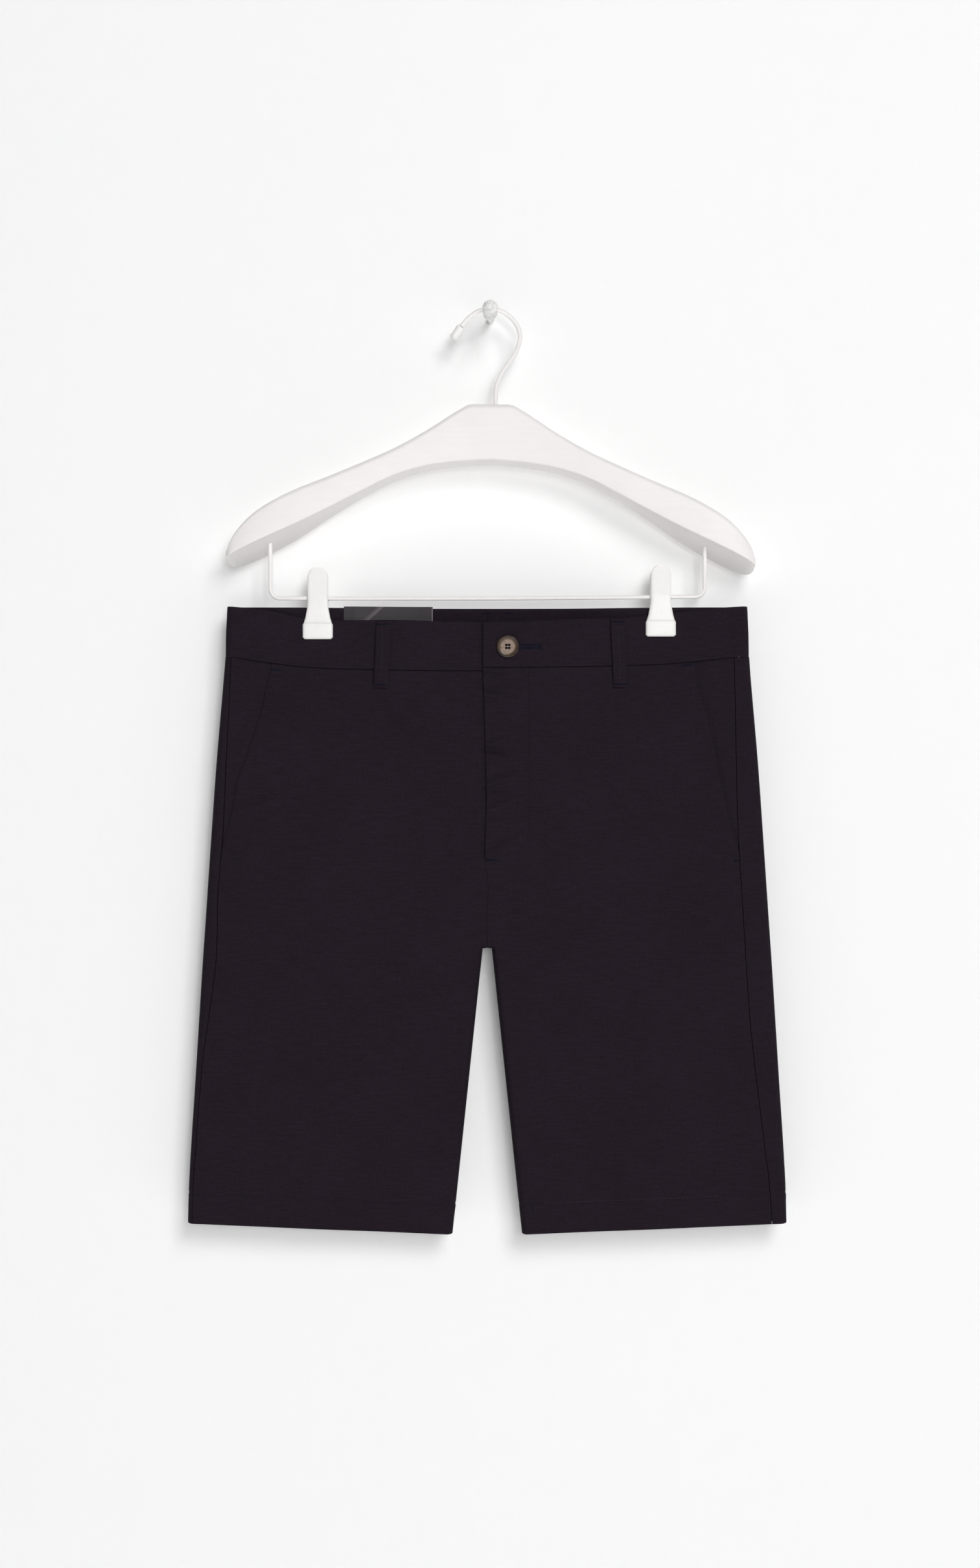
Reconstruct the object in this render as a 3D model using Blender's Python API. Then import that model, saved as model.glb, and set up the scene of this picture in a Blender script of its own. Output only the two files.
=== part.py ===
"""Bermuda shorts clipped to a hanger that hangs on a wall peg.

Metres, +Z up. The origin is the middle of the peg's back face, which lies on the wall plane
y = 0. The garment's front faces -Y. "Right" and "left" are the wearer's, so right is -X.
"Drop" is the distance below the top of the waistband and "x" is measured from the garment's
centre line. Every cloth piece takes its points from cloth_point(), moved outwards or inwards.
"""

import math

import bmesh
import bpy
from mathutils import Matrix, Vector

# ---------------------------------------------------------------- the garment's place and depth
CENTRE_X = -0.0023
WAIST_Z = -0.2447
MID_Y = -0.0300
FRONT = -1
BACK = 1
RIGHT = -1
LEFT = 1

HALF_DEPTH = 0.0085
SIDE_FOLD = 0.0060
INNER_FOLD = 0.0050
SEAM_GAP = 0.0003
CLOTH = 0.0010
HEM_TURN_UP = 0.0013
HEM_DEPTH = 0.0255

# ---------------------------------------------------------------- the cut, as short tables
# (drop, half width of the flattened garment)
OUTLINE = [
    (0.0000, 0.2169),
    (0.0434, 0.2192),
    (0.1300, 0.2265),
    (0.1950, 0.2311),
    (0.2600, 0.2355),
    (0.3040, 0.2385),
    (0.3910, 0.2439),
    (0.4775, 0.2493),
    (0.5250, 0.2507),
]
# (share of the half width, drop of the front's top edge, drop of the front's waist seam)
FRONT_WAIST = {
    RIGHT: [
        (0.00, 0.0138, 0.0542),
        (0.15, 0.0132, 0.0540),
        (0.35, 0.0118, 0.0535),
        (0.55, 0.0116, 0.0524),
        (0.72, 0.0095, 0.0504),
        (0.85, 0.0036, 0.0468),
        (1.00, 0.0003, 0.0420),
    ],
    LEFT: [
        (0.00, 0.0138, 0.0515),
        (0.15, 0.0130, 0.0513),
        (0.35, 0.0110, 0.0506),
        (0.55, 0.0094, 0.0495),
        (0.72, 0.0055, 0.0478),
        (0.85, 0.0022, 0.0450),
        (1.00, 0.0003, 0.0420),
    ],
}
BACK_TOP_DROP = 0.0003
BACK_TOP_DIP = 0.0012
BACK_SEAM_DROP = 0.0420
# (drop, distance of the side seam from the outer edge, measured on the front)
SIDE_SEAM = {
    RIGHT: [
        (0.042, 0.0054),
        (0.115, 0.0082),
        (0.190, 0.0103),
        (0.240, 0.0096),
        (0.295, 0.0118),
        (0.345, 0.0085),
        (0.385, 0.0056),
        (0.470, 0.0047),
        (0.525, 0.0043),
    ],
    LEFT: [
        (0.042, 0.0130),
        (0.075, 0.0150),
        (0.120, 0.0182),
        (0.180, 0.0212),
        (0.250, 0.0219),
        (0.345, 0.0221),
        (0.404, 0.0192),
        (0.440, 0.0171),
        (0.525, 0.0130),
    ],
}
# (drop, distance of the pocket mouth from the side seam)
POCKET_MOUTH = {
    RIGHT: [
        (0.045, 0.0332),
        (0.088, 0.0267),
        (0.118, 0.0192),
        (0.146, 0.0101),
        (0.167, 0.0072),
        (0.205, 0.0000),
    ],
    LEFT: [
        (0.045, 0.0323),
        (0.070, 0.0300),
        (0.090, 0.0234),
        (0.148, 0.0130),
        (0.181, 0.0067),
        (0.205, 0.0000),
    ],
}
POCKET_BASE = 0.205
# (drop, x of the fly's edge, then of the centre front seam)
FLY_EDGE = [
    (0.040, -0.0040),
    (0.160, -0.0008),
    (0.212, -0.0020),
    (0.232, 0.0007),
    (0.259, -0.0006),
    (0.286, 0.0000),
]
FLY_BASE = 0.212
CROTCH_DROP = 0.286
CROTCH_HALF_GAP = 0.0038
LEG_GAP_SLOPE = 0.106
HEM_SIDE_DROP = 0.5155
HEM_INSIDE_DROP = 0.5247

PANEL_ROWS = [
    0.0700, 0.0950, 0.1250, 0.1600, 0.1860, 0.1960, 0.2040, 0.2120, 0.2350, 0.2620, 0.2740,
    0.2810, CROTCH_DROP, CROTCH_DROP + 0.0006, 0.2940, 0.3100, 0.3500, 0.4000, 0.4500,
]
PANEL_COLUMNS = 12
HALF_STEP = 0.0004
# shares of the inner fold's width where it has columns, and of the outer fold's
INNER_FOLD_SHARES = (0.5, 0.15, 0.0)
OUTER_FOLD_SHARES = (0.134, 0.5)
INSET_SHARES = (1.0, 0.55, 0.25, 0.07)

# ---------------------------------------------------------------- the waistband and the fly
BAND_OUT = 0.0007
BAND_IN = 0.0018
BAND_OVERLAP_END = 0.0270
BAND_ROW_SHARES = (0.0, 0.33, 0.67, 1.0)
# distances of the waistband's columns from the centre line, inside and beyond a clip
BAND_NEAR = 0.0300
BAND_BESIDE = (0.0480, 0.0600, 0.0740, 0.0880, 0.1000, 0.1130)
BAND_BEYOND = (0.1720, 0.1850, 0.1990)
# first columns of the right half past the centre, then of the left
BAND_UNDER = 0.0120
BAND_STEP_START = 0.0001
BAND_STEP_MIDDLE = -0.0024
BAND_OVER = 0.0060
FLY_STEP = 0.0050
FLY_UNDERLAP = 0.0060
FLY_RAMP = 0.0080
LAYER = CLOTH + SEAM_GAP
FRONT_UNDER_FLY = 2 * LAYER
CHAIN_DEPTH = 0.0025
TAPE_THICKNESS = 0.0008
TAPE_LAYER = FRONT_UNDER_FLY + CHAIN_DEPTH + SEAM_GAP
SHIELD_LAYER = TAPE_LAYER + TAPE_THICKNESS + SEAM_GAP
J_STITCH_X = 0.0345
J_CURVE_TOP = 0.1850
FLY_STRIP_TOP = 0.060
FLY_STRIP_ROWS = 7
FLY_STRIP_SHARES = (0.0, 0.33, 0.67, 1.0)
FACING_FOOT_SHARE = 0.25
# distances from the fly's edge
SHIELD_SPAN = (-0.0110, 0.0300)
TAPE_SPAN = (-0.0060, 0.0230)
CHAIN_SPAN = (0.0075, 0.0125)
SLIDER_SPAN = (0.0065, 0.0135)
SLIDER_LENGTH = 0.0130
ZIP_FOOT = 0.2050

# ---------------------------------------------------------------- what the hanger holds
CLIP_X = {RIGHT: -0.1416, LEFT: 0.1450}
CLIP_LIFT = {RIGHT: 0.0, LEFT: 0.0022}
CLIP_JAW_Z = -0.2723
PINCHED_DEPTH = 0.0022
PINCH_FLAT = 0.0150
PINCH_REACH = 0.0700
PINCH_FULL_DROP = 0.0320
PINCH_END_DROP = 0.1300
# (height above the jaw's lower edge, half width, stand-off of the inner face, thickness)
CLIP_PROFILE = [
    (0.0000, 0.0110, 0.0034, 0.0020),
    (0.0014, 0.0126, 0.0032, 0.0032),
    (0.0120, 0.0126, 0.0032, 0.0034),
    (0.0134, 0.0118, 0.0032, 0.0030),
    (0.0180, 0.0104, 0.0032, 0.0028),
    (0.0275, 0.0086, 0.0032, 0.0028),
    (0.0345, 0.0086, 0.0021, 0.0038),
    (0.0430, 0.0086, 0.0040, 0.0030),
    (0.0530, 0.0084, 0.0064, 0.0026),
    (0.0573, 0.0066, 0.0074, 0.0024),
    (0.0593, 0.0036, 0.0080, 0.0020),
]
CLIP_COLUMNS = (-1.0, -0.8, -0.3, 0.3, 0.8, 1.0)
CLIP_SIDE_THINNING = 0.35
BAR_RADIUS = 0.00175
BAR_CORNER = 0.0080
BAR_LEG_X = {RIGHT: -0.1839, LEFT: 0.1796}
BAR_Z = {RIGHT: -0.2379, LEFT: -0.2366}
BAR_LEG_GAP = 0.0016
BAR_SAG = 0.0007

# (distance from the hanger's middle, top, front lower edge, back lower edge, half thickness)
HANGER_ARM = [
    (0.0000, -0.0765, -0.1231, -0.1254, 0.0110),
    (0.0176, -0.0765, -0.1242, -0.1264, 0.0110),
    (0.0190, -0.0770, -0.1243, -0.1265, 0.0110),
    (0.0330, -0.0854, -0.1256, -0.1279, 0.0115),
    (0.0540, -0.0992, -0.1292, -0.1314, 0.0125),
    (0.0810, -0.1146, -0.1377, -0.1399, 0.0140),
    (0.1080, -0.1271, -0.1513, -0.1540, 0.0155),
    (0.1360, -0.1393, -0.1661, -0.1715, 0.0170),
    (0.1630, -0.1504, -0.1797, -0.1895, 0.0180),
    (0.1850, -0.1618, -0.1898, -0.2016, 0.0185),
    (0.2000, -0.1723, -0.1969, -0.2090, 0.0180),
    (0.2110, -0.1838, -0.2024, -0.2132, 0.0165),
    (0.2175, -0.1935, -0.2060, -0.2136, 0.0140),
    (0.2203, -0.2015, -0.2075, -0.2116, 0.0100),
]
HANGER_X = 0.0006
HANGER_TILT = 0.0148
HANGER_ROUND = 0.0045
# (x, z) that the hook's wire passes through, from the hanger up over the peg to its end
HOOK_PATH = [
    (0.0046, -0.0762),
    (0.0049, -0.0630),
    (0.0076, -0.0532),
    (0.0136, -0.0434),
    (0.0201, -0.0342),
    (0.0239, -0.0255),
    (0.0250, -0.0172),
    (0.0224, -0.0090),
    (0.0168, -0.0023),
    (0.0092, 0.0026),
    (0.0000, 0.0044),
    (-0.0080, 0.0032),
    (-0.0141, -0.0002),
    (-0.0192, -0.0044),
    (-0.0242, -0.0101),
]
HOOK_RADIUS = 0.0020
TIP_START = (-0.0246, -0.0107)
TIP_END = (-0.0307, -0.0196)
TIP_RADIUS = 0.0038

# (distance from the wall, radius)
PEG_PROFILE = [
    (0.0000, 0.0036),
    (0.0020, 0.0036),
    (0.0022, 0.0020),
    (0.0345, 0.0020),
    (0.0346, 0.0054),
    (0.0354, 0.0060),
    (0.0480, 0.0062),
    (0.0490, 0.0057),
    (0.0502, 0.0057),
    (0.0514, 0.0064),
    (0.0560, 0.0067),
    (0.0600, 0.0061),
    (0.0624, 0.0046),
    (0.0638, 0.0024),
]
BUTTON_X = 0.0171
BUTTON_Z = -0.2788
BUTTON_HOLE_RADIUS = 0.0011
BUTTON_HOLE_REACH = 0.00175
# (height above the cloth side, radius), from the middle of the back to the middle of the face
BUTTON_PROFILE = [
    (0.0000, 0.0070),
    (0.0008, 0.0088),
    (0.0020, 0.0093),
    (0.0030, 0.0090),
    (0.0033, 0.0083),
    (0.0027, 0.0074),
    (0.0023, 0.0060),
]

LOOP_HALF_WIDTH = 0.0060
LOOP_THICKNESS = 0.0016
LOOP_ROWS = 11
# (share of the length, stand-off from the panel's surface)
LOOP_STAND_OFF = [
    (0.00, 0.0011),
    (0.10, 0.0016),
    (0.35, 0.0022),
    (0.60, 0.0018),
    (0.80, 0.0015),
    (0.90, 0.0008),
    (1.00, 0.0006),
]
# name: (face, x at the top, x at the foot, drop of the top, drop of the foot)
BELT_LOOPS = {
    "belt_loop_front_right": (FRONT, -0.0866, -0.0890, 0.0130, 0.0684),
    "belt_loop_front_left": (FRONT, 0.1087, 0.1117, 0.0108, 0.0680),
    "belt_loop_back_right": (BACK, -0.0950, -0.0950, 0.0020, 0.0575),
    "belt_loop_back_left": (BACK, 0.0980, 0.0980, 0.0020, 0.0575),
    "belt_loop_centre_right": (BACK, -0.0075, -0.0075, 0.0025, 0.0575),
    "belt_loop_centre_left": (BACK, 0.0186, 0.0186, 0.0025, 0.0575),
}

LABEL_START_X = -0.1200
LABEL_END_X = -0.0457
LABEL_TOP_DROP = 0.0000
LABEL_FOOT_DROP = 0.0345
LABEL_THICKNESS = 0.0008

BAG_LAYER = TAPE_LAYER - CHAIN_DEPTH
BAG_FOLD = 0.0016
BAG_INNER_REACH = 0.1080
BAG_FOOT_DROP = 0.2600
BAG_WIDEST = 0.2060
BAG_SLOPE_DROP = 0.1900
BAG_SLOPE = 0.0300
BAG_FOLD_INSET = 0.0040
BAG_BACK_OFFSET = 0.0020
BAG_COLUMNS = 4
FACING_ROWS = [0.070, 0.095, 0.125, 0.150, 0.175, 0.192, 0.2045]
BAG_ROWS = [0.1050, *FACING_ROWS[2:], 0.2250, 0.2430, BAG_FOOT_DROP]
FACING_UNDERLAP = 0.0150
FACING_STEP = 0.0050
FACING_LEAST_WIDTH = 0.0030
FACING_LEVEL_DROP = 0.0450

# name: (colour, roughness, metallic)
FINISHES = {
    "cotton": ((0.018, 0.012, 0.019), 0.9, 0.0),
    "pocketing": ((0.020, 0.017, 0.024), 0.9, 0.0),
    "satin": ((0.050, 0.045, 0.050), 0.4, 0.0),
    "horn": ((0.200, 0.125, 0.080), 0.4, 0.0),
    "zip": ((0.020, 0.015, 0.020), 0.5, 0.0),
    "wood": ((0.900, 0.875, 0.865), 0.5, 0.0),
    "wire": ((0.880, 0.880, 0.870), 0.35, 0.0),
    "plastic": ((0.910, 0.900, 0.885), 0.4, 0.0),
    "peg": ((0.760, 0.760, 0.750), 0.6, 0.0),
}


# ---------------------------------------------------------------- curves read from the tables
def smooth_step(share):
    """0 up to 1 with level ends."""
    share = min(max(share, 0.0), 1.0)
    return share * share * (3 - 2 * share)


def read_curve(rows, place, column=1):
    """Value of a table's column at a place, on a smooth curve through its rows."""
    places = [row[0] for row in rows]
    values = [row[column] for row in rows]
    if place <= places[0]:
        return values[0]
    if place >= places[-1]:
        return values[-1]
    last = len(rows) - 1
    at = next(i for i in range(last) if place <= places[i + 1])
    span = places[at + 1] - places[at]

    def slope(i):
        before = max(i - 1, 0)
        after = min(i + 1, last)
        return (values[after] - values[before]) / (places[after] - places[before])

    t = (place - places[at]) / span
    return (
        (2 * t**3 - 3 * t**2 + 1) * values[at]
        + (t**3 - 2 * t**2 + t) * span * slope(at)
        + (3 * t**2 - 2 * t**3) * values[at + 1]
        + (t**3 - t**2) * span * slope(at + 1)
    )


def half_width(drop):
    return read_curve(OUTLINE, drop)


def inner_edge(drop):
    """Distance of a leg's inner edge from the centre line."""
    return CROTCH_HALF_GAP + LEG_GAP_SLOPE * max(drop - CROTCH_DROP, 0.0)


def side_of(x):
    return RIGHT if x < 0 else LEFT


def top_drop(x, face):
    """Drop of the waistband's top edge."""
    share = min(abs(x) / half_width(0.0), 1.0)
    if face == BACK:
        return BACK_TOP_DROP + BACK_TOP_DIP * (1 - share**2)
    return read_curve(FRONT_WAIST[side_of(x)], share, 1)


def seam_drop(x, face, side=None):
    """Drop of the seam between the waistband and the panels."""
    if face == BACK:
        return BACK_SEAM_DROP
    share = min(abs(x) / half_width(BACK_SEAM_DROP), 1.0)
    return read_curve(FRONT_WAIST[side or side_of(x)], share, 2)


def hem_drop(x):
    """Drop of the hem, which slopes down towards the inner leg."""
    inner = inner_edge(HEM_INSIDE_DROP)
    share = (abs(x) - inner) / (half_width(HEM_SIDE_DROP) - inner)
    return HEM_INSIDE_DROP + (HEM_SIDE_DROP - HEM_INSIDE_DROP) * share


def seam_reach(side, drop):
    """Distance of the side seam from the centre line."""
    return half_width(drop) - read_curve(SIDE_SEAM[side], drop)


def pocket_reach(side, drop):
    """Distance of the pocket mouth from the centre line."""
    return seam_reach(side, drop) - read_curve(POCKET_MOUTH[side], drop)


def half_depth(x, drop):
    """Half the garment's depth, pressed flat under the two clips."""
    open_share = 1.0
    fade = smooth_step((drop - PINCH_FULL_DROP) / (PINCH_END_DROP - PINCH_FULL_DROP))
    for clip_x in CLIP_X.values():
        beside = smooth_step((abs(x - clip_x) - PINCH_FLAT) / PINCH_REACH)
        open_share *= max(beside, fade)
    return PINCHED_DEPTH + (HALF_DEPTH - PINCHED_DEPTH) * open_share


def fork_edge(reach, drop):
    """Distance to the nearest edge between the legs, and the direction away from it."""
    if drop > CROTCH_DROP:
        return max(reach - inner_edge(drop), 0.0), (1.0, 0.0)
    if reach < CROTCH_HALF_GAP:
        return CROTCH_DROP - drop, (0.0, -1.0)
    across = reach - CROTCH_HALF_GAP
    down = drop - CROTCH_DROP
    distance = math.hypot(across, down)
    if distance < SEAM_GAP:
        return 0.0, (0.0, -1.0)
    return distance, (across / distance, down / distance)


def cloth_point(x, drop, face, out=0.0):
    """Point of the flattened garment's surface, moved outwards by "out".

    The section is two flat layers joined by an elliptic fold at the outer edge and, on the
    legs and round the crotch, at the inner edge.
    """
    side = side_of(x)
    reach = abs(x)
    fold_start = half_width(drop) - SIDE_FOLD
    lean = min(max((reach - fold_start) / SIDE_FOLD, 0.0), 1.0)
    rise = math.sqrt(1 - lean**2)
    if lean > 0:
        reach = fold_start + (SIDE_FOLD + out) * lean
    distance, away = fork_edge(reach, drop)
    inner_lean = min(max(1 - distance / INNER_FOLD, 0.0), 1.0)
    rise *= math.sqrt(1 - inner_lean**2)
    reach -= out * inner_lean * away[0]
    drop -= out * inner_lean * away[1]
    depth = max((half_depth(x, drop) + out) * rise, SEAM_GAP / 2)
    return Vector((CENTRE_X + side * reach, MID_Y + face * depth, WAIST_Z - drop))


# ---------------------------------------------------------------- making objects
def finish_material(name):
    """The named finish as a Principled material, made once."""
    material = bpy.data.materials.get(name)
    if material:
        return material
    colour, roughness, metallic = FINISHES[name]
    material = bpy.data.materials.new(name)
    material.use_nodes = True
    shader = material.node_tree.nodes["Principled BSDF"]
    shader.inputs["Base Color"].default_value = (*colour, 1.0)
    shader.inputs["Roughness"].default_value = roughness
    shader.inputs["Metallic"].default_value = metallic
    return material


def add_object(name, bm, finish, sharp_degrees=40):
    """Object of the mesh, smooth shaded up to its sharp edges."""
    bmesh.ops.recalc_face_normals(bm, faces=bm.faces)
    if bm.calc_volume(signed=True) < 0:
        bmesh.ops.reverse_faces(bm, faces=bm.faces)
    mesh = bpy.data.meshes.new(name)
    bm.to_mesh(mesh)
    bm.free()
    mesh.shade_smooth()
    mesh.set_sharp_from_angle(angle=math.radians(sharp_degrees))
    mesh.materials.append(finish_material(finish))
    obj = bpy.data.objects.new(name, mesh)
    bpy.context.scene.collection.objects.link(obj)
    return obj


def wall_between(name, outer, inner, finish):
    """Closed wall between two equal grids of points: a grid, extruded and then laid on them."""
    rows = len(outer)
    columns = len(outer[0])
    bm = bmesh.new()
    bmesh.ops.create_grid(bm, x_segments=columns - 1, y_segments=rows - 1, size=1.0)
    extruded = bmesh.ops.extrude_face_region(bm, geom=bm.faces[:], use_keep_orig=True)
    inside = {item for item in extruded["geom"] if isinstance(item, bmesh.types.BMVert)}
    for vert in bm.verts:
        column = round((vert.co.x + 1) / 2 * (columns - 1))
        row = round((vert.co.y + 1) / 2 * (rows - 1))
        grid = inner if vert in inside else outer
        vert.co = grid[row][column]
    return add_object(name, bm, finish)


def cloth_wall(name, rows, finish, out=0.0, thickness=CLOTH):
    """Wall laid on the garment: rows of (x, drop, face, push, extra thickness) stations."""
    outer = []
    inner = []
    for row in rows:
        outer.append([cloth_point(x, drop, face, out - push) for x, drop, face, push, _ in row])
        inner.append(
            [
                cloth_point(x, drop, face, out - push - thickness - extra)
                for x, drop, face, push, extra in row
            ]
        )
    return wall_between(name, outer, inner, finish)


def turned_solid(name, profile, finish, place, steps=24):
    """Solid turned from (distance, radius) rows about its own Z axis, put at a matrix."""
    bm = bmesh.new()
    points = [(0.0, profile[0][0])]
    points += [(radius, distance) for distance, radius in profile]
    points += [(0.0, profile[-1][0])]
    verts = [bm.verts.new((radius, 0.0, distance)) for radius, distance in points]
    edges = [bm.edges.new(pair) for pair in zip(verts, verts[1:])]
    bmesh.ops.spin(
        bm,
        geom=verts + edges,
        cent=(0, 0, 0),
        axis=(0, 0, 1),
        angle=2 * math.pi,
        steps=steps,
        use_duplicate=False,
    )
    bmesh.ops.remove_doubles(bm, verts=bm.verts, dist=1e-6)
    bm.transform(place)
    return add_object(name, bm, finish)


def wire(name, points, radius, finish, sides=3):
    """Round wire with flat ends along a smooth path through the points."""
    curve = bpy.data.curves.new(name, "CURVE")
    curve.dimensions = "3D"
    curve.bevel_depth = radius
    curve.bevel_resolution = sides
    curve.use_fill_caps = True
    curve.resolution_u = 4
    spline = curve.splines.new("BEZIER")
    spline.bezier_points.add(len(points) - 1)
    for knot, point in zip(spline.bezier_points, points):
        knot.co = point
        knot.handle_left_type = "AUTO"
        knot.handle_right_type = "AUTO"
    curve.materials.append(finish_material(finish))
    obj = bpy.data.objects.new(name, curve)
    bpy.context.scene.collection.objects.link(obj)
    return obj


def spread(start, end, count):
    return [start + (end - start) * i / (count - 1) for i in range(count)]


# ---------------------------------------------------------------- the panels
def panel_rows(columns_at, side):
    """Stations of a panel from its waist seam to its hem.

    columns_at(drop) gives the (x, face, push) columns of a row; the first row follows the
    waist seam and the last three follow the hem and its turned-up layer.
    """
    rows = []
    first = columns_at(BACK_SEAM_DROP)
    rows.append(
        [
            (x, seam_drop(x, face, side) + SEAM_GAP / 2, face, push, 0.0)
            for x, face, push in first
        ]
    )
    for drop in PANEL_ROWS:
        rows.append([(x, drop, face, push, 0.0) for x, face, push in columns_at(drop)])
    hem = columns_at(HEM_SIDE_DROP)
    above_hem = columns_at(HEM_SIDE_DROP - HEM_DEPTH)
    for columns, lift, extra in (
        (above_hem, HEM_DEPTH + HALF_STEP, 0.0),
        (above_hem, HEM_DEPTH - HALF_STEP, HEM_TURN_UP),
        (hem, 0.0, HEM_TURN_UP),
    ):
        rows.append([(x, hem_drop(x) - lift, face, push, extra) for x, face, push in columns])
    return rows


def fly_ramps(drop):
    """Shares of the step down and of the underlap beside the fly, both 0 at its foot."""
    step = smooth_step((FLY_BASE - drop) / FLY_RAMP)
    underlap = smooth_step((FLY_BASE - FLY_RAMP - drop) / FLY_RAMP)
    return step, underlap


def front_centre_x(side, drop):
    """x of a front panel's inner edge: the fly, the centre seam, then the inner leg."""
    if drop > CROTCH_DROP:
        return side * inner_edge(drop)
    edge = read_curve(FLY_EDGE, drop)
    if side == LEFT:
        return edge + SEAM_GAP / 2
    _, underlap = fly_ramps(drop)
    return edge - SEAM_GAP / 2 + (FLY_UNDERLAP + SEAM_GAP / 2) * underlap


def front_push(side, x, drop):
    """How far the right front steps down to pass under the fly."""
    if side == LEFT or drop > FLY_BASE:
        return 0.0
    step, _ = fly_ramps(drop)
    start = read_curve(FLY_EDGE, drop) - FLY_STEP
    return FRONT_UNDER_FLY * step * smooth_step((x - start) / (FLY_STEP - SEAM_GAP))


def front_columns(side, drop):
    """Columns of a front panel, from the pocket mouth or side seam to its inner edge."""
    if drop < POCKET_BASE:
        outer = side * (pocket_reach(side, drop) - SEAM_GAP / 2)
    else:
        outer = side * (seam_reach(side, drop) - SEAM_GAP / 2)
    centre = front_centre_x(side, drop)
    _, underlap = fly_ramps(drop)
    near = side * (INNER_FOLD + (FLY_UNDERLAP * underlap if side == RIGHT else 0.0))
    places = spread(outer, centre + near, PANEL_COLUMNS)
    places += [centre + near * share for share in INNER_FOLD_SHARES]
    return [(x, FRONT, front_push(side, x, drop)) for x in places]


def back_columns(side, drop):
    """Columns of a back panel, from the side seam round the outer fold to its inner edge."""
    width = half_width(drop)
    inset = width - seam_reach(side, drop) - SEAM_GAP / 2
    centre = inner_edge(drop) if drop > CROTCH_DROP else SEAM_GAP / 2
    columns = [(width - inset * share, FRONT) for share in INSET_SHARES]
    columns += [(width, BACK)]
    columns += [(width - SIDE_FOLD * share, BACK) for share in OUTER_FOLD_SHARES]
    places = spread(width - SIDE_FOLD, centre + INNER_FOLD, PANEL_COLUMNS)
    places += [centre + INNER_FOLD * share for share in INNER_FOLD_SHARES]
    columns += [(reach, BACK) for reach in places]
    return [(side * reach, face, 0.0) for reach, face in columns]


def make_panels():
    for side, word in ((RIGHT, "right"), (LEFT, "left")):
        front = panel_rows(lambda drop: front_columns(side, drop), side)
        cloth_wall(f"front_{word}", front, "cotton")
        back = panel_rows(lambda drop: back_columns(side, drop), side)
        cloth_wall(f"back_{word}", back, "cotton")


# ---------------------------------------------------------------- the waistband
def band_push(side, x):
    """How far the right half steps in to pass under the left half at the front."""
    if side == LEFT:
        return 0.0
    start = read_curve(FLY_EDGE, BACK_SEAM_DROP) - FLY_STEP
    under = BAND_OUT + BAND_IN + SEAM_GAP
    return under * smooth_step((x - start) / (FLY_STEP - SEAM_GAP))


def band_stations(side):
    """(x, face) of the waistband's columns, from the front's centre round to the back's."""
    fly_x = read_curve(FLY_EDGE, BACK_SEAM_DROP)
    clip = abs(CLIP_X[side])
    width = half_width(BACK_SEAM_DROP / 2)
    if side == RIGHT:
        front = [BAND_OVERLAP_END, BAND_UNDER, fly_x + BAND_STEP_START]
        front += [fly_x + BAND_STEP_MIDDLE, fly_x - FLY_STEP, -BAND_NEAR]
    else:
        front = [fly_x + SEAM_GAP, BAND_OVER, BAND_NEAR]
    clip_columns = (clip - PINCH_FLAT, clip, clip + PINCH_FLAT)
    reaches = [*BAND_BESIDE, *clip_columns, *BAND_BEYOND, width - SIDE_FOLD]
    front += [side * reach for reach in reaches]
    fold = [width - SIDE_FOLD * share for share in OUTER_FOLD_SHARES]
    front += [side * reach for reach in reversed(fold)]
    back = [side * reach for reach in (width, *fold, *reversed(reaches))]
    back += [side * BAND_NEAR, side * SEAM_GAP / 2]
    return [(x, FRONT) for x in front] + [(x, BACK) for x in back]


def make_waistband():
    """Two halves, joined at the centre back; the left one overlaps at the front."""
    width = half_width(BACK_SEAM_DROP / 2)
    for side, word in ((RIGHT, "right"), (LEFT, "left")):
        rows = []
        for share in BAND_ROW_SHARES:
            row = []
            for x, face in band_stations(side):
                top = top_drop(x, face)
                foot = seam_drop(x, face, side) - SEAM_GAP / 2
                if abs(x) >= width:
                    foot = BACK_SEAM_DROP - SEAM_GAP / 2
                drop = top + (foot - top) * share
                push = band_push(side, x) if face == FRONT else 0.0
                row.append((x, drop, face, push, 0.0))
            rows.append(row)
        cloth_wall(f"waistband_{word}", rows, "cotton", BAND_OUT, BAND_OUT + BAND_IN)


# ---------------------------------------------------------------- the fly and its zip
def fly_strip(name, start, end, layer, thickness, finish, top, foot=FLY_BASE, curve=False):
    """Strip behind the fly: "start" and "end" are measured from the fly's edge."""
    rows = []
    for number in range(FLY_STRIP_ROWS):
        share = number / (FLY_STRIP_ROWS - 1)
        row = []
        for across in FLY_STRIP_SHARES:
            nominal = FLY_STRIP_TOP + share * (foot - FLY_STRIP_TOP)
            edge = read_curve(FLY_EDGE, nominal)
            reach = end
            if curve and nominal > J_CURVE_TOP:
                down = (nominal - J_CURVE_TOP) / (FLY_BASE - J_CURVE_TOP)
                share_left = max(math.sqrt(1 - down**2), FACING_FOOT_SHARE)
                reach = start + (end - start) * share_left
            x = edge + start + (reach - start) * across
            drop = top + 2 * SEAM_GAP if number == 0 else nominal
            row.append((x, drop, FRONT, layer, 0.0))
        rows.append(row)
    cloth_wall(name, rows, finish, 0.0, thickness)


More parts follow.
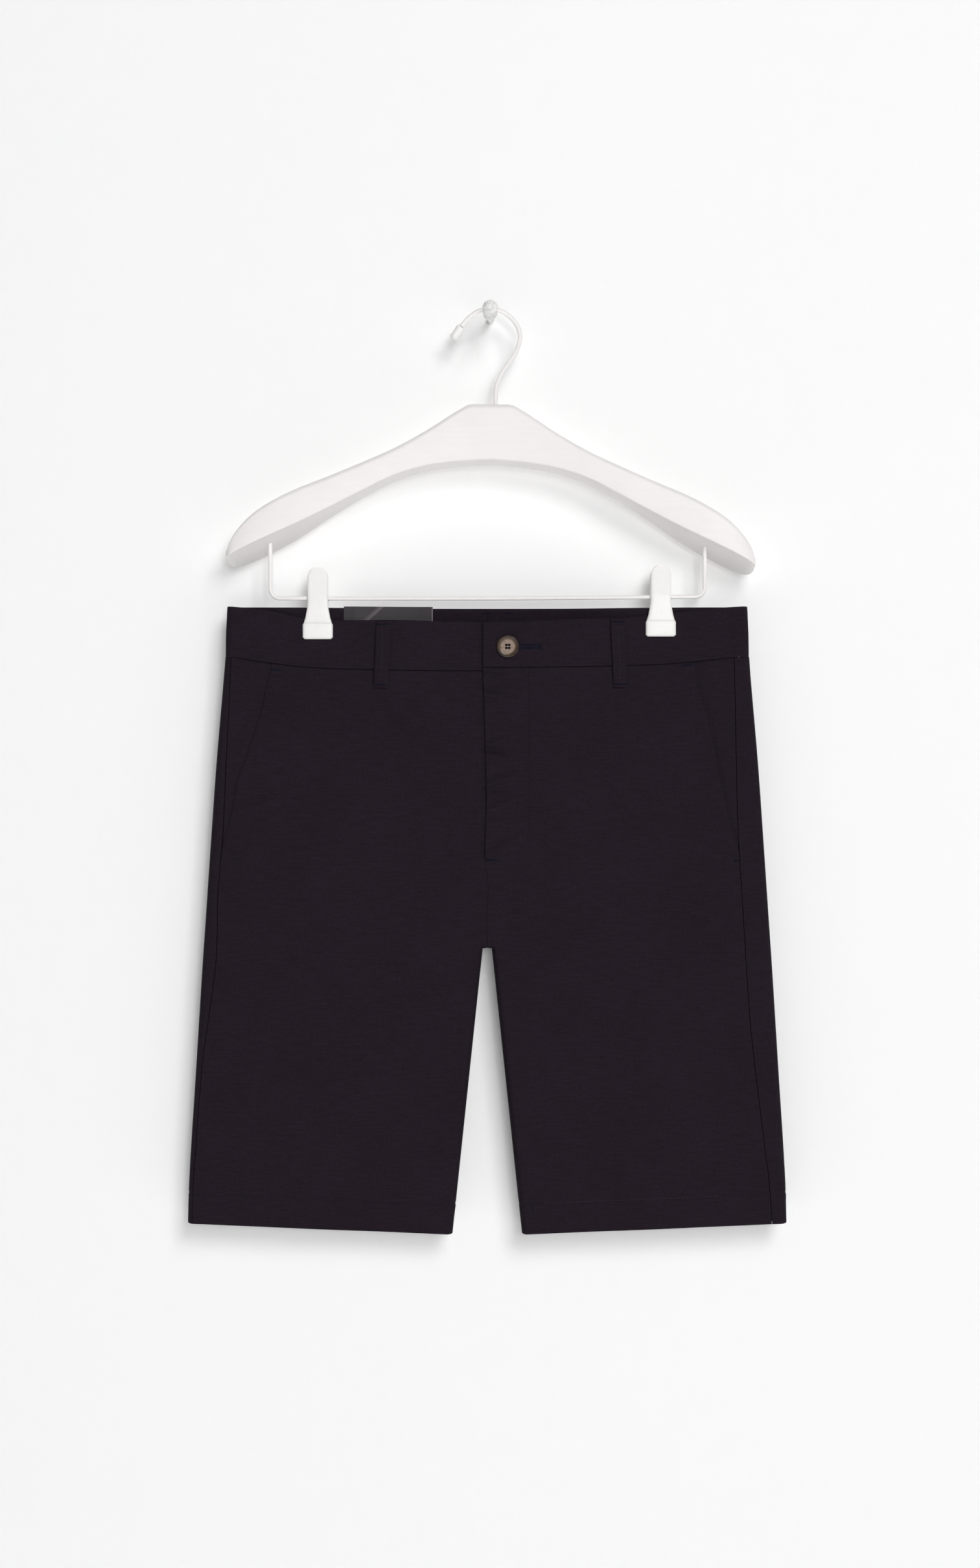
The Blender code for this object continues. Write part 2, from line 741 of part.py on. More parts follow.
def make_fly():
    """Facing, zip and shield, one behind the other from the fly inwards."""
    facing_end = J_STITCH_X - read_curve(FLY_EDGE, BACK_SEAM_DROP)
    top = max(row[2] for row in FRONT_WAIST[RIGHT])
    slider_foot = top + SLIDER_LENGTH
    chain = CHAIN_DEPTH - SEAM_GAP
    under = FRONT_UNDER_FLY
    fly_strip("fly_facing", SEAM_GAP, facing_end, LAYER, CLOTH, "cotton", top, curve=True)
    fly_strip("fly_shield", *SHIELD_SPAN, SHIELD_LAYER, CLOTH, "cotton", top)
    fly_strip("zip_tape", *TAPE_SPAN, TAPE_LAYER, TAPE_THICKNESS, "zip", top, ZIP_FOOT)
    fly_strip("zip_chain", *CHAIN_SPAN, under, chain, "zip", slider_foot, ZIP_FOOT)
    fly_strip("zip_slider", *SLIDER_SPAN, under, chain, "zip", top, slider_foot)


# ---------------------------------------------------------------- the slant pockets
def make_pocket_facings():
    """The hip pieces that show beside each pocket mouth and pass under the front."""
    for side, word in ((RIGHT, "right"), (LEFT, "left")):
        rows = []
        for drop in [None, *FACING_ROWS]:
            level = drop or FACING_LEVEL_DROP
            seam = seam_reach(side, level) - SEAM_GAP / 2
            mouth = pocket_reach(side, level)
            row = []
            inner = min(mouth, seam - FACING_LEAST_WIDTH)
            step = min(FACING_STEP, (seam - inner) / 2)
            places = spread(seam, inner + step, 3)
            places += [inner + step / 2, inner, inner - FACING_UNDERLAP]
            for reach in places:
                x = side * reach
                share = (mouth + FACING_STEP - reach) / (FACING_STEP - SEAM_GAP)
                push = LAYER * smooth_step(share)
                station_drop = drop or seam_drop(x, FRONT, side) + SEAM_GAP / 2
                row.append((x, station_drop, FRONT, push, 0.0))
            rows.append(row)
        cloth_wall(f"pocket_facing_{word}", rows, "cotton")


def bag_row(side, drop):
    """Columns of a pocket bag, from the mouth to the inner fold, round it and back."""
    outer = min(pocket_reach(side, min(drop, POCKET_BASE)), BAG_WIDEST)
    slope = smooth_step((drop - BAG_SLOPE_DROP) / (BAG_FOOT_DROP - BAG_SLOPE_DROP))
    fold = BAG_INNER_REACH + BAG_SLOPE * slope + BAG_FOLD_INSET
    front_layer = BAG_LAYER
    back_layer = front_layer + BAG_FOLD + 2 * CLOTH
    middle = (front_layer + back_layer) / 2
    swing = (back_layer - front_layer) / 2
    columns = [(reach, front_layer) for reach in spread(outer, fold, BAG_COLUMNS)]
    for degrees in (30, 90, 150):
        angle = math.radians(degrees)
        columns.append((fold - swing * math.sin(angle), middle - swing * math.cos(angle)))
    back_outer = outer + BAG_BACK_OFFSET
    columns += [(reach, back_layer) for reach in spread(fold, back_outer, BAG_COLUMNS)]
    return [(side * reach, drop, FRONT, layer, 0.0) for reach, layer in columns]


def make_pocket_bags():
    """A bag behind each mouth: one folded sheet, from the mouth to its inner fold and back."""
    for side, word in ((RIGHT, "right"), (LEFT, "left")):
        rows = [bag_row(side, drop) for drop in BAG_ROWS]
        bag_wall(f"pocket_bag_{word}", rows, side)


def bag_wall(name, rows, side):
    """Wall of a folded sheet, whose thickness is taken across the fold's own direction."""
    outer = []
    inner = []
    for row in rows:
        points = [cloth_point(x, drop, face, -push) for x, drop, face, push, _ in row]
        shifted = []
        for number, point in enumerate(points):
            before = points[max(number - 1, 0)]
            after = points[min(number + 1, len(points) - 1)]
            along = after - before
            along.z = 0.0
            along.normalize()
            normal = Vector((along.y, -along.x, 0.0)) * side
            shifted.append(point + normal * CLOTH)
        outer.append(points)
        inner.append(shifted)
    return wall_between(name, outer, inner, "pocketing")


# ---------------------------------------------------------------- what is sewn on
def make_belt_loops():
    for name, (face, top_x, foot_x, top, foot) in BELT_LOOPS.items():
        rows = []
        for number in range(LOOP_ROWS):
            share = number / (LOOP_ROWS - 1)
            drop = top + (foot - top) * share
            middle = top_x + (foot_x - top_x) * share
            stand = read_curve(LOOP_STAND_OFF, share)
            row = [
                (middle + LOOP_HALF_WIDTH * across, drop, face, -stand, 0.0)
                for across in (-1.0, 0.0, 1.0)
            ]
            rows.append(row)
        cloth_wall(name, rows, "cotton", LOOP_THICKNESS, LOOP_THICKNESS)


def make_label():
    """The label on the inside of the back waistband."""
    out = -(BAND_IN + SEAM_GAP)
    rows = [
        [(x, drop, BACK, 0.0, 0.0) for x in spread(LABEL_START_X, LABEL_END_X, 7)]
        for drop in spread(LABEL_TOP_DROP, LABEL_FOOT_DROP, 4)
    ]
    cloth_wall("inner_label", rows, "satin", out, LABEL_THICKNESS)


def make_button():
    """Four-hole button, lying on the overlap."""
    drop = WAIST_Z - BUTTON_Z
    seat = cloth_point(BUTTON_X, drop, FRONT, BAND_OUT + SEAM_GAP)
    place = Matrix.Translation(seat) @ Matrix.Rotation(math.radians(90), 4, "X")
    button = turned_solid("waist_button", BUTTON_PROFILE, "horn", place, 32)
    for number in range(4):
        angle = math.radians(45 + 90 * number)
        bm = bmesh.new()
        bmesh.ops.create_cone(
            bm,
            cap_ends=True,
            segments=10,
            radius1=BUTTON_HOLE_RADIUS,
            radius2=BUTTON_HOLE_RADIUS,
            depth=0.02,
        )
        offset = Vector((math.cos(angle), math.sin(angle), 0.0)) * BUTTON_HOLE_REACH
        bm.transform(place @ Matrix.Translation(offset))
        cutter = add_object(f"button_hole_{number}", bm, "horn")
        cutter.hide_render = True
        cutter.display_type = "WIRE"
        hole = button.modifiers.new("hole", "BOOLEAN")
        hole.operation = "DIFFERENCE"
        hole.object = cutter


# ---------------------------------------------------------------- the hanger
def hanger_underside(reach, sideways):
    """Height of the hanger's underside above a point under its middle plane."""
    front = read_curve(HANGER_ARM, reach, 2)
    back = read_curve(HANGER_ARM, reach, 3)
    return (front + back) / 2 - HANGER_TILT * sideways


def hanger_section(reach, top, front_low, back_low, half, side):
    """Rounded section of the wooden arm, whose underside slopes down towards the wall."""
    corner = min(HANGER_ROUND, half * 0.8, (top - front_low) * 0.4)
    lower = corner * 0.35
    outline = [
        (-half, front_low + lower),
        (-half, top - corner),
        (-half + 0.3 * corner, top - 0.3 * corner),
        (-half + corner, top),
        (half - corner, top),
        (half - 0.3 * corner, top - 0.3 * corner),
        (half, top - corner),
        (half, back_low + lower),
        (half - lower, back_low),
        (-half + lower, front_low),
    ]
    x = HANGER_X + side * reach
    return [Vector((x, MID_Y + y, z - HANGER_TILT * x)) for y, z in outline]


def make_hanger_body():
    """Arched wooden bar, lofted through its sections from end to end."""
    sections = [hanger_section(*row, RIGHT) for row in reversed(HANGER_ARM[1:])]
    sections += [hanger_section(*row, LEFT) for row in HANGER_ARM]
    bm = bmesh.new()
    loops = []
    for section in sections:
        verts = [bm.verts.new(point) for point in section]
        loops.append([bm.edges.new(pair) for pair in zip(verts, verts[1:] + verts[:1])])
    for first, second in zip(loops, loops[1:]):
        bmesh.ops.bridge_loops(bm, edges=first + second)
    bmesh.ops.holes_fill(bm, edges=loops[0] + loops[-1], sides=0)
    add_object("hanger_body", bm, "wood", 50)


def make_hook():
    path = [Vector((x, MID_Y, z)) for x, z in HOOK_PATH]
    wire("hanger_hook", path, HOOK_RADIUS, "wire")
    start = Vector((TIP_START[0], MID_Y, TIP_START[1]))
    end = Vector((TIP_END[0], MID_Y, TIP_END[1]))
    length = (end - start).length
    profile = [(0.0, 0.0030), (0.0006, TIP_RADIUS), (length - 0.0012, TIP_RADIUS)]
    for degrees in (30, 60, 80):
        angle = math.radians(degrees)
        reach = length - 0.0012 + 0.8 * TIP_RADIUS * math.sin(angle)
        profile.append((reach, TIP_RADIUS * math.cos(angle)))
    turn = (end - start).to_track_quat("Z", "Y").to_matrix().to_4x4()
    turned_solid("hook_tip", profile, "plastic", Matrix.Translation(start) @ turn, 16)


def bar_leg(side):
    """Points of one leg of the clip bar, from the hanger's underside round its corner."""
    x = BAR_LEG_X[side]
    top = hanger_underside(abs(x - HANGER_X), x) - BAR_LEG_GAP
    low = BAR_Z[side]
    points = [Vector((x, MID_Y, z)) for z in (top, (top + low + BAR_CORNER) / 2)]
    for degrees in (0, 30, 60, 90):
        angle = math.radians(degrees)
        inward = BAR_CORNER * (1 - math.cos(angle))
        down = BAR_CORNER * (1 - math.sin(angle))
        points.append(Vector((x - side * inward, MID_Y, low + down)))
    return points


def make_clip_bar():
    """Wire bar: two legs from the hanger's underside and a level run between round corners."""
    middle = Vector((0.0, MID_Y, (BAR_Z[RIGHT] + BAR_Z[LEFT]) / 2 - BAR_SAG))
    path = [*bar_leg(RIGHT), middle, *reversed(bar_leg(LEFT))]
    wire("clip_bar", path, BAR_RADIUS, "wire")


def make_clips():
    """Two jaws each side of the waistband, closing under the bar."""
    for side, word in ((RIGHT, "right"), (LEFT, "left")):
        for face, part in ((FRONT, "front"), (BACK, "back")):
            outer = []
            inner = []
            for height, half, stand, thickness in CLIP_PROFILE:
                z = CLIP_JAW_Z + CLIP_LIFT[side] + height
                outer_row = []
                inner_row = []
                for across in CLIP_COLUMNS:
                    x = CENTRE_X + CLIP_X[side] + half * across
                    bulge = thickness * (1 - CLIP_SIDE_THINNING * across**6)
                    outer_row.append(Vector((x, MID_Y + face * (stand + bulge), z)))
                    inner_row.append(Vector((x, MID_Y + face * stand, z)))
                outer.append(outer_row)
                inner.append(inner_row)
            wall_between(f"clip_{word}_{part}", outer, inner, "plastic")


def make_peg():
    place = Matrix.Rotation(math.radians(90), 4, "X")
    turned_solid("wall_peg", PEG_PROFILE, "peg", place, 24)


def main():
    for obj in list(bpy.data.objects):
        bpy.data.objects.remove(obj, do_unlink=True)
    make_panels()
    make_waistband()
    make_fly()
    make_pocket_facings()
    make_pocket_bags()
    make_belt_loops()
    make_label()
    make_button()
    make_hanger_body()
    make_hook()
    make_clip_bar()
    make_clips()
    make_peg()


main()
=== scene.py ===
"""Looks of a pair of bermuda shorts that hangs from a clip hanger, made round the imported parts.

Lengths are metres. The garment's front faces -Y. "Right" and "left" are the wearer's, so right
is -X. "Drop" is the distance below the waist, and "x" is measured from the garment's middle.
"""

import math

import bpy
import numpy as np
from bpy.props import FloatProperty, FloatVectorProperty, PointerProperty
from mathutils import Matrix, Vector


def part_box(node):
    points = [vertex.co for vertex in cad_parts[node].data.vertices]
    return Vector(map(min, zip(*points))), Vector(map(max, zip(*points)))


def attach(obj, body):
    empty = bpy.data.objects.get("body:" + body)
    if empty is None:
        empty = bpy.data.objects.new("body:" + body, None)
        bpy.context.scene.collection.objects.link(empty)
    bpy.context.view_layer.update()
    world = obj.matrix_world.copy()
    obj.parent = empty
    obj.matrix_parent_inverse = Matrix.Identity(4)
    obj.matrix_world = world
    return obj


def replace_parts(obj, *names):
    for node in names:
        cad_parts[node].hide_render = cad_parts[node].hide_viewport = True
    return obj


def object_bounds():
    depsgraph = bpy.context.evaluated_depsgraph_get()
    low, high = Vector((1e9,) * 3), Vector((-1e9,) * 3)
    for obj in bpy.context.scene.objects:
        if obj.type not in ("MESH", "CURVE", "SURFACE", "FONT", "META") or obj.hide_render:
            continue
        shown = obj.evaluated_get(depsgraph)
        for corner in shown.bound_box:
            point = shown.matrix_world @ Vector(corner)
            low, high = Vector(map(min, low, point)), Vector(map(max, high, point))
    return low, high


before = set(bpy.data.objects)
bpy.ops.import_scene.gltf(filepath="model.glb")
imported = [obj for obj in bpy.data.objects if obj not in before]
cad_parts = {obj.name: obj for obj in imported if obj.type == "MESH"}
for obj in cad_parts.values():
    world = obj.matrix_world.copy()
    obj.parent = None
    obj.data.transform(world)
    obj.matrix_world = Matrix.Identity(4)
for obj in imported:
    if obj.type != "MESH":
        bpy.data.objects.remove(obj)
CAD_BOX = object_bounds()

bl_info = {
    "name": "Bermuda shorts on a clip hanger",
    "version": (1, 0, 0),
    "blender": (4, 5, 0),
    "location": "3D View > Sidebar > Shorts",
    "description": "Cloth, sewing, hanger and stage of a pair of bermuda shorts",
    "category": "Add Mesh",
}


# ---------------------------------------------------------------- the garment's place and cut
def middle_of(node, axis):
    low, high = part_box(node)
    return (low[axis] + high[axis]) / 2


FRONT, BACK = -1, 1
RIGHT, LEFT = -1, 1
SIDES = ((RIGHT, "right"), (LEFT, "left"))

BACK_TOP_DROP = 0.0003
BACK_TOP_DIP = 0.0012
BACK_SEAM_DROP = 0.0420
CENTRE_X = -0.0023
MID_Y = middle_of("hanger_hook", 1)
WAIST_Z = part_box("waistband_right")[1][2] + BACK_TOP_DROP

HALF_DEPTH = 0.0085
SIDE_FOLD = 0.0060
INNER_FOLD = 0.0050
GAP = 0.0003
CLOTH = 0.0010
LAYER = CLOTH + GAP
HEM_TURN_UP = 0.0013
HEM_DEPTH = 0.0255
EDGE_ROUND = 0.46 * CLOTH

# (drop, half width of the flattened garment)
OUTLINE = [
    (0.0000, 0.2169), (0.0434, 0.2192), (0.1300, 0.2265), (0.1950, 0.2311), (0.2600, 0.2355),
    (0.3040, 0.2385), (0.3910, 0.2439), (0.4775, 0.2493), (0.5250, 0.2507),
]
# (share of the half width, drop of the front's top edge, drop of the front's waist seam)
FRONT_WAIST = {
    RIGHT: [
        (0.00, 0.0138, 0.0542), (0.15, 0.0132, 0.0540), (0.35, 0.0118, 0.0535),
        (0.55, 0.0116, 0.0524), (0.72, 0.0095, 0.0504), (0.85, 0.0036, 0.0468),
        (1.00, 0.0003, 0.0420),
    ],
    LEFT: [
        (0.00, 0.0138, 0.0515), (0.15, 0.0130, 0.0513), (0.35, 0.0110, 0.0506),
        (0.55, 0.0094, 0.0495), (0.72, 0.0055, 0.0478), (0.85, 0.0022, 0.0450),
        (1.00, 0.0003, 0.0420),
    ],
}
# (drop, distance of the side seam from the outer edge, measured on the front)
SIDE_SEAM = {
    RIGHT: [
        (0.042, 0.0054), (0.115, 0.0082), (0.190, 0.0103), (0.240, 0.0096), (0.295, 0.0118),
        (0.345, 0.0085), (0.385, 0.0056), (0.470, 0.0047), (0.525, 0.0043),
    ],
    LEFT: [
        (0.042, 0.0130), (0.075, 0.0150), (0.120, 0.0182), (0.180, 0.0212), (0.250, 0.0219),
        (0.345, 0.0221), (0.404, 0.0192), (0.440, 0.0171), (0.525, 0.0130),
    ],
}
# (drop, distance of the pocket mouth from the side seam)
POCKET_MOUTH = {
    RIGHT: [
        (0.045, 0.0332), (0.088, 0.0267), (0.118, 0.0192), (0.146, 0.0101), (0.167, 0.0072),
        (0.205, 0.0000),
    ],
    LEFT: [
        (0.045, 0.0323), (0.070, 0.0300), (0.090, 0.0234), (0.148, 0.0130), (0.181, 0.0067),
        (0.205, 0.0000),
    ],
}
POCKET_BASE = 0.205
# (drop, x of the fly's edge, then of the centre front seam)
FLY_EDGE = [
    (0.040, -0.0040), (0.160, -0.0008), (0.212, -0.0020), (0.232, 0.0007), (0.259, -0.0006),
    (0.286, 0.0000),
]
FLY_BASE = 0.212
FLY_STEP = 0.0050
FLY_UNDERLAP = 0.0060
FRONT_UNDER_FLY = 2 * LAYER
J_STITCH_X = 0.0345
J_CURVE_TOP = 0.1850
CROTCH_DROP = 0.286
CROTCH_HALF_GAP = 0.0038
LEG_GAP_SLOPE = 0.106
HEM_SIDE_DROP = 0.5155
HEM_INSIDE_DROP = 0.5247

BAND_OUT = 0.0007
BAND_IN = 0.0018
BAND_OVERLAP_END = 0.0270
BAND_LAP = 0.0007
BAND_HEIGHT = 0.0410

CLIP_X = {RIGHT: -0.1416, LEFT: 0.1450}
PINCHED_DEPTH = 0.0022
PINCH_FLAT = 0.0150
PINCH_REACH = 0.0700
PINCH_FULL_DROP = 0.0320
PINCH_END_DROP = 0.1300

CHAIN_DEPTH = 0.0025
TAPE_THICKNESS = 0.0008
TAPE_LAYER = FRONT_UNDER_FLY + CHAIN_DEPTH + GAP
SHIELD_LAYER = TAPE_LAYER + TAPE_THICKNESS + GAP
ZIP_FOOT = 0.2050
BAG_LAYER = TAPE_LAYER - CHAIN_DEPTH
BAG_FOLD = 0.0016
BAG_INNER_REACH = 0.1120
BAG_OUTER_REACH = 0.2060
BAG_TOP_DROP = 0.1050
BAG_FOOT_DROP = 0.2600
BAG_TAPER = 0.0300
BAG_TAPER_DROP = 0.1900
BAG_BACK_STEP = 0.0020
# a bag's area, as a share of its middle row times its depth
BAG_AREA_SHARE = 0.98
FACING_UNDERLAP = 0.0150
FACING_STEP = 0.0050

LOOP_HALF_WIDTH = 0.0060
LOOP_THICKNESS = 0.0016
# (share of the length, stand-off from the panel's surface)
LOOP_STAND_OFF = [
    (0.00, 0.0011), (0.10, 0.0016), (0.35, 0.0022), (0.60, 0.0018), (0.80, 0.0015),
    (0.90, 0.0008), (1.00, 0.0006),
]
# name: (face, x at the top, x at the foot, drop of the top, drop of the foot)
BELT_LOOPS = {
    "belt_loop_front_right": (FRONT, -0.0866, -0.0890, 0.0130, 0.0684),
    "belt_loop_front_left": (FRONT, 0.1087, 0.1117, 0.0108, 0.0680),
    "belt_loop_back_right": (BACK, -0.0950, -0.0950, 0.0020, 0.0575),
    "belt_loop_back_left": (BACK, 0.0980, 0.0980, 0.0020, 0.0575),
    "belt_loop_centre_right": (BACK, -0.0075, -0.0075, 0.0025, 0.0575),
    "belt_loop_centre_left": (BACK, 0.0186, 0.0186, 0.0025, 0.0575),
}
LABEL_SPAN = (-0.1200, -0.0457)
LABEL_DEPTH = 0.0345
LABEL_THICKNESS = 0.0008

# distance between a panel's rows of points
EDGE_ROWS = 0.0005
CREASED_ROWS = 0.00145
PLAIN_ROWS = 0.0024
LEG_ROWS = 0.0030
TURN_UP_ROWS = 0.0020
# distances of the first points in from a piece's edge
EDGE_STEPS = (0.0, 0.00015, 0.0004, 0.0008, 0.0014)
# distance over which rows go from the waist seam's slope to level
SEAM_FOLLOW = 0.0350

# Creases: face, x and drop of the middle, direction in degrees from level (down to the left is
# positive), half length, half width, height (a trough is negative)
CREASES = [
    (FRONT, 0.0060, 0.0580, -12, 0.0125, 0.0022, 0.0025),
    (FRONT, 0.0075, 0.0655, 8, 0.0150, 0.0034, -0.0020),
    (FRONT, 0.0070, 0.0750, -18, 0.0163, 0.0026, 0.0027),
    (FRONT, 0.0050, 0.0812, 6, 0.0100, 0.0020, 0.0018),
    (FRONT, 0.0085, 0.0950, -6, 0.0187, 0.0050, -0.0018),
    (FRONT, 0.0070, 0.1140, 14, 0.0137, 0.0024, 0.0025),
    (FRONT, 0.0055, 0.1200, -4, 0.0125, 0.0022, -0.0020),
    (FRONT, 0.0080, 0.1262, -14, 0.0163, 0.0026, 0.0027),
    (FRONT, 0.0048, 0.1325, 5, 0.0100, 0.0022, 0.0016),
    (FRONT, 0.0090, 0.1460, 16, 0.0187, 0.0030, 0.0025),
    (FRONT, 0.0060, 0.1530, -8, 0.0137, 0.0024, -0.0023),
    (FRONT, 0.0080, 0.1680, 20, 0.0163, 0.0034, 0.0023),
    (FRONT, 0.0070, 0.1800, -10, 0.0150, 0.0030, 0.0020),
    (FRONT, 0.0100, 0.1960, 24, 0.0175, 0.0040, -0.0020),
    (FRONT, -0.2090, 0.2080, -28, 0.0110, 0.0022, 0.0017),
    (FRONT, -0.2060, 0.2140, -26, 0.0120, 0.0026, -0.0013),
    (FRONT, -0.2145, 0.2390, -14, 0.0110, 0.0020, 0.0015),
    (FRONT, -0.1900, 0.1560, 12, 0.0220, 0.0040, -0.0011),
    (FRONT, -0.1960, 0.1680, 16, 0.0180, 0.0034, 0.0011),
    (FRONT, 0.1960, 0.1900, 22, 0.0220, 0.0050, 0.0011),
    (FRONT, -0.0500, 0.2860, -14, 0.0600, 0.0130, 0.0010),
    (FRONT, 0.0520, 0.2930, 16, 0.0620, 0.0140, 0.0010),
    (FRONT, -0.0300, 0.3080, -38, 0.0360, 0.0080, -0.0009),
    (FRONT, 0.0310, 0.3030, 42, 0.0320, 0.0080, -0.0010),
    (FRONT, -0.1240, 0.1300, 84, 0.0700, 0.0200, 0.0013),
    (FRONT, 0.1340, 0.1350, 96, 0.0740, 0.0210, 0.0011),
    (FRONT, -0.0700, 0.1000, 78, 0.0420, 0.0120, -0.0007),
    (FRONT, 0.0890, 0.1040, 100, 0.0440, 0.0120, -0.0007),
    (FRONT, -0.1460, 0.4100, 86, 0.1100, 0.0280, 0.0013),
    (FRONT, 0.1380, 0.4200, 94, 0.1100, 0.0280, 0.0013),
    (FRONT, -0.1960, 0.3300, 80, 0.0600, 0.0160, -0.0009),
    (FRONT, 0.1860, 0.3500, 98, 0.0700, 0.0170, -0.0008),
    (BACK, 0.0000, 0.1900, 88, 0.0800, 0.0120, -0.0014),
    (BACK, -0.0900, 0.1600, 20, 0.0700, 0.0200, 0.0018),
    (BACK, 0.0950, 0.1700, -24, 0.0740, 0.0210, 0.0016),
    (BACK, -0.0560, 0.2620, -18, 0.0560, 0.0110, -0.0016),
    (BACK, 0.0600, 0.2700, 16, 0.0600, 0.0120, -0.0016),
    (BACK, -0.0480, 0.2980, -30, 0.0400, 0.0090, 0.0014),
    (BACK, 0.0500, 0.3040, 34, 0.0420, 0.0100, 0.0014),
    (BACK, -0.1500, 0.3300, 10, 0.0500, 0.0120, -0.0011),
    (BACK, 0.1480, 0.3420, -12, 0.0520, 0.0120, -0.0011),
    (BACK, -0.1300, 0.4200, 82, 0.0900, 0.0240, 0.0014),
    (BACK, 0.1400, 0.4100, 98, 0.0900, 0.0240, 0.0014),
    (BACK, -0.0960, 0.0850, 76, 0.0260, 0.0060, 0.0010),
    (BACK, 0.0990, 0.0850, 104, 0.0260, 0.0060, 0.0010),
]


# ---------------------------------------------------------------- the garment's form
def smooth(share):
    """0 up to 1 with level ends."""
    share = np.clip(share, 0.0, 1.0)
    return share * share * (3 - 2 * share)


def curve(rows, place, column=1):
    """Values of a table's column at many places, on a smooth curve through its rows.

    Between two rows it is the cubic that meets both values, and its slope at a row is the
    slope from the row before to the row after.
    """
    table = np.array(rows)
    places = table[:, 0]
    values = table[:, column]
    number = np.arange(len(places))
    before = np.maximum(number - 1, 0)
    after = np.minimum(number + 1, len(places) - 1)
    slopes = (values[after] - values[before]) / (places[after] - places[before])
    place = np.clip(place, places[0], places[-1])
    at = np.clip(np.searchsorted(places, place, side="right") - 1, 0, len(places) - 2)
    span = places[at + 1] - places[at]
    t = (place - places[at]) / span
    return (
        (2 * t**3 - 3 * t**2 + 1) * values[at]
        + (t**3 - 2 * t**2 + t) * span * slopes[at]
        + (3 * t**2 - 2 * t**3) * values[at + 1]
        + (t**3 - t**2) * span * slopes[at + 1]
    )


def half_width(drop):
    """Distance of the outer fold from the centre line."""
    return curve(OUTLINE, drop)


def inner_edge(drop):
    """Distance of a leg's inner edge from the centre line."""
    return CROTCH_HALF_GAP + LEG_GAP_SLOPE * np.maximum(drop - CROTCH_DROP, 0.0)


def front_waist(x, column):
    """A column of the front's waist table at x: 1 is the top edge, 2 the seam."""
    share = np.minimum(np.abs(x) / half_width(0.0), 1.0)
    right = curve(FRONT_WAIST[RIGHT], share, column)
    left = curve(FRONT_WAIST[LEFT], share, column)
    return np.where(x < 0, right, left)


def top_drop(x, face):
    """Drop of the waistband's top edge."""
    share = np.minimum(np.abs(x) / half_width(0.0), 1.0)
    back = BACK_TOP_DROP + BACK_TOP_DIP * (1 - share**2)
    return np.where(face == BACK, back, front_waist(x, 1))


def seam_drop(x, face, side):
    """Drop of the seam between the waistband and the panels."""
    share = np.minimum(np.abs(x) / half_width(BACK_SEAM_DROP), 1.0)
    front = curve(FRONT_WAIST[side], share, 2)
    return np.where(face == BACK, BACK_SEAM_DROP, front)


def hem_drop(x):
    """Drop of the hem, which slopes down towards the inner leg."""
    inner = inner_edge(HEM_INSIDE_DROP)
    share = (np.abs(x) - inner) / (half_width(HEM_SIDE_DROP) - inner)
    return HEM_INSIDE_DROP + (HEM_SIDE_DROP - HEM_INSIDE_DROP) * share


def seam_reach(side, drop):
    """Distance of the side seam from the centre line, on the front."""
    return half_width(drop) - curve(SIDE_SEAM[side], drop)


def pocket_reach(side, drop):
    """Distance of the pocket's mouth from the centre line."""
    return seam_reach(side, drop) - curve(POCKET_MOUTH[side], drop)


def fly_x(drop):
    """x of the fly's edge, and of the centre front seam below it."""
    return curve(FLY_EDGE, drop)


def open_share(x, drop):
    """1 where the garment has its whole depth, 0 where a clip presses it flat."""
    share = 1.0
    fade = smooth((drop - PINCH_FULL_DROP) / (PINCH_END_DROP - PINCH_FULL_DROP))
    for clip_x in CLIP_X.values():
        beside = smooth((np.abs(x - clip_x) - PINCH_FLAT) / PINCH_REACH)
        share = share * np.maximum(beside, fade)
    return share


def fork_edge(reach, drop):
    """Distance to the nearest edge between the legs, and the direction away from it."""
    across = reach - CROTCH_HALF_GAP
    down = drop - CROTCH_DROP
    near = np.maximum(np.hypot(across, down), 1e-9)
    leg = down > 0
    above = ~leg & (across < 0)
    corner = ~leg & ~above
    distance = np.where(leg, np.maximum(reach - inner_edge(drop), 0.0), near)
    distance = np.where(above, -down, distance)
    away_x = np.where(leg, 1.0, np.where(corner, across / near, 0.0))
    away_down = np.where(leg, 0.0, np.where(corner, down / near, -1.0))
    return distance, away_x, away_down


def creases(x, drop, face):
    """Height of the listed creases and of the cloth's slow unevenness.

    A crease is a bell across its direction and fades as a second bell along it, with its line
    bent a little; the unevenness is a sum of three slow waves.
    """
    total = np.zeros(np.broadcast(x, drop, face).shape)
    for on, mid_x, mid_drop, degrees, length, width, height in CREASES:
        turn = math.radians(degrees)
        along = (x - mid_x) * math.cos(turn) - (drop - mid_drop) * math.sin(turn)
        across = (x - mid_x) * math.sin(turn) + (drop - mid_drop) * math.cos(turn)
        across = across + 0.12 * width * np.sin(along / length * 2.2)
        bell = np.exp(-((across / width) ** 2) - (along / length) ** 2)
        total = total + np.where(face == on, height * bell, 0.0)
    slow = (
        0.00030 * np.sin(41 * x + 17 * drop + 0.8 * face)
        + 0.00022 * np.sin(73 * x - 31 * drop + 2.1)
        + 0.00018 * np.sin(23 * x + 61 * drop + 1.3 * face)
    )
    return total + slow


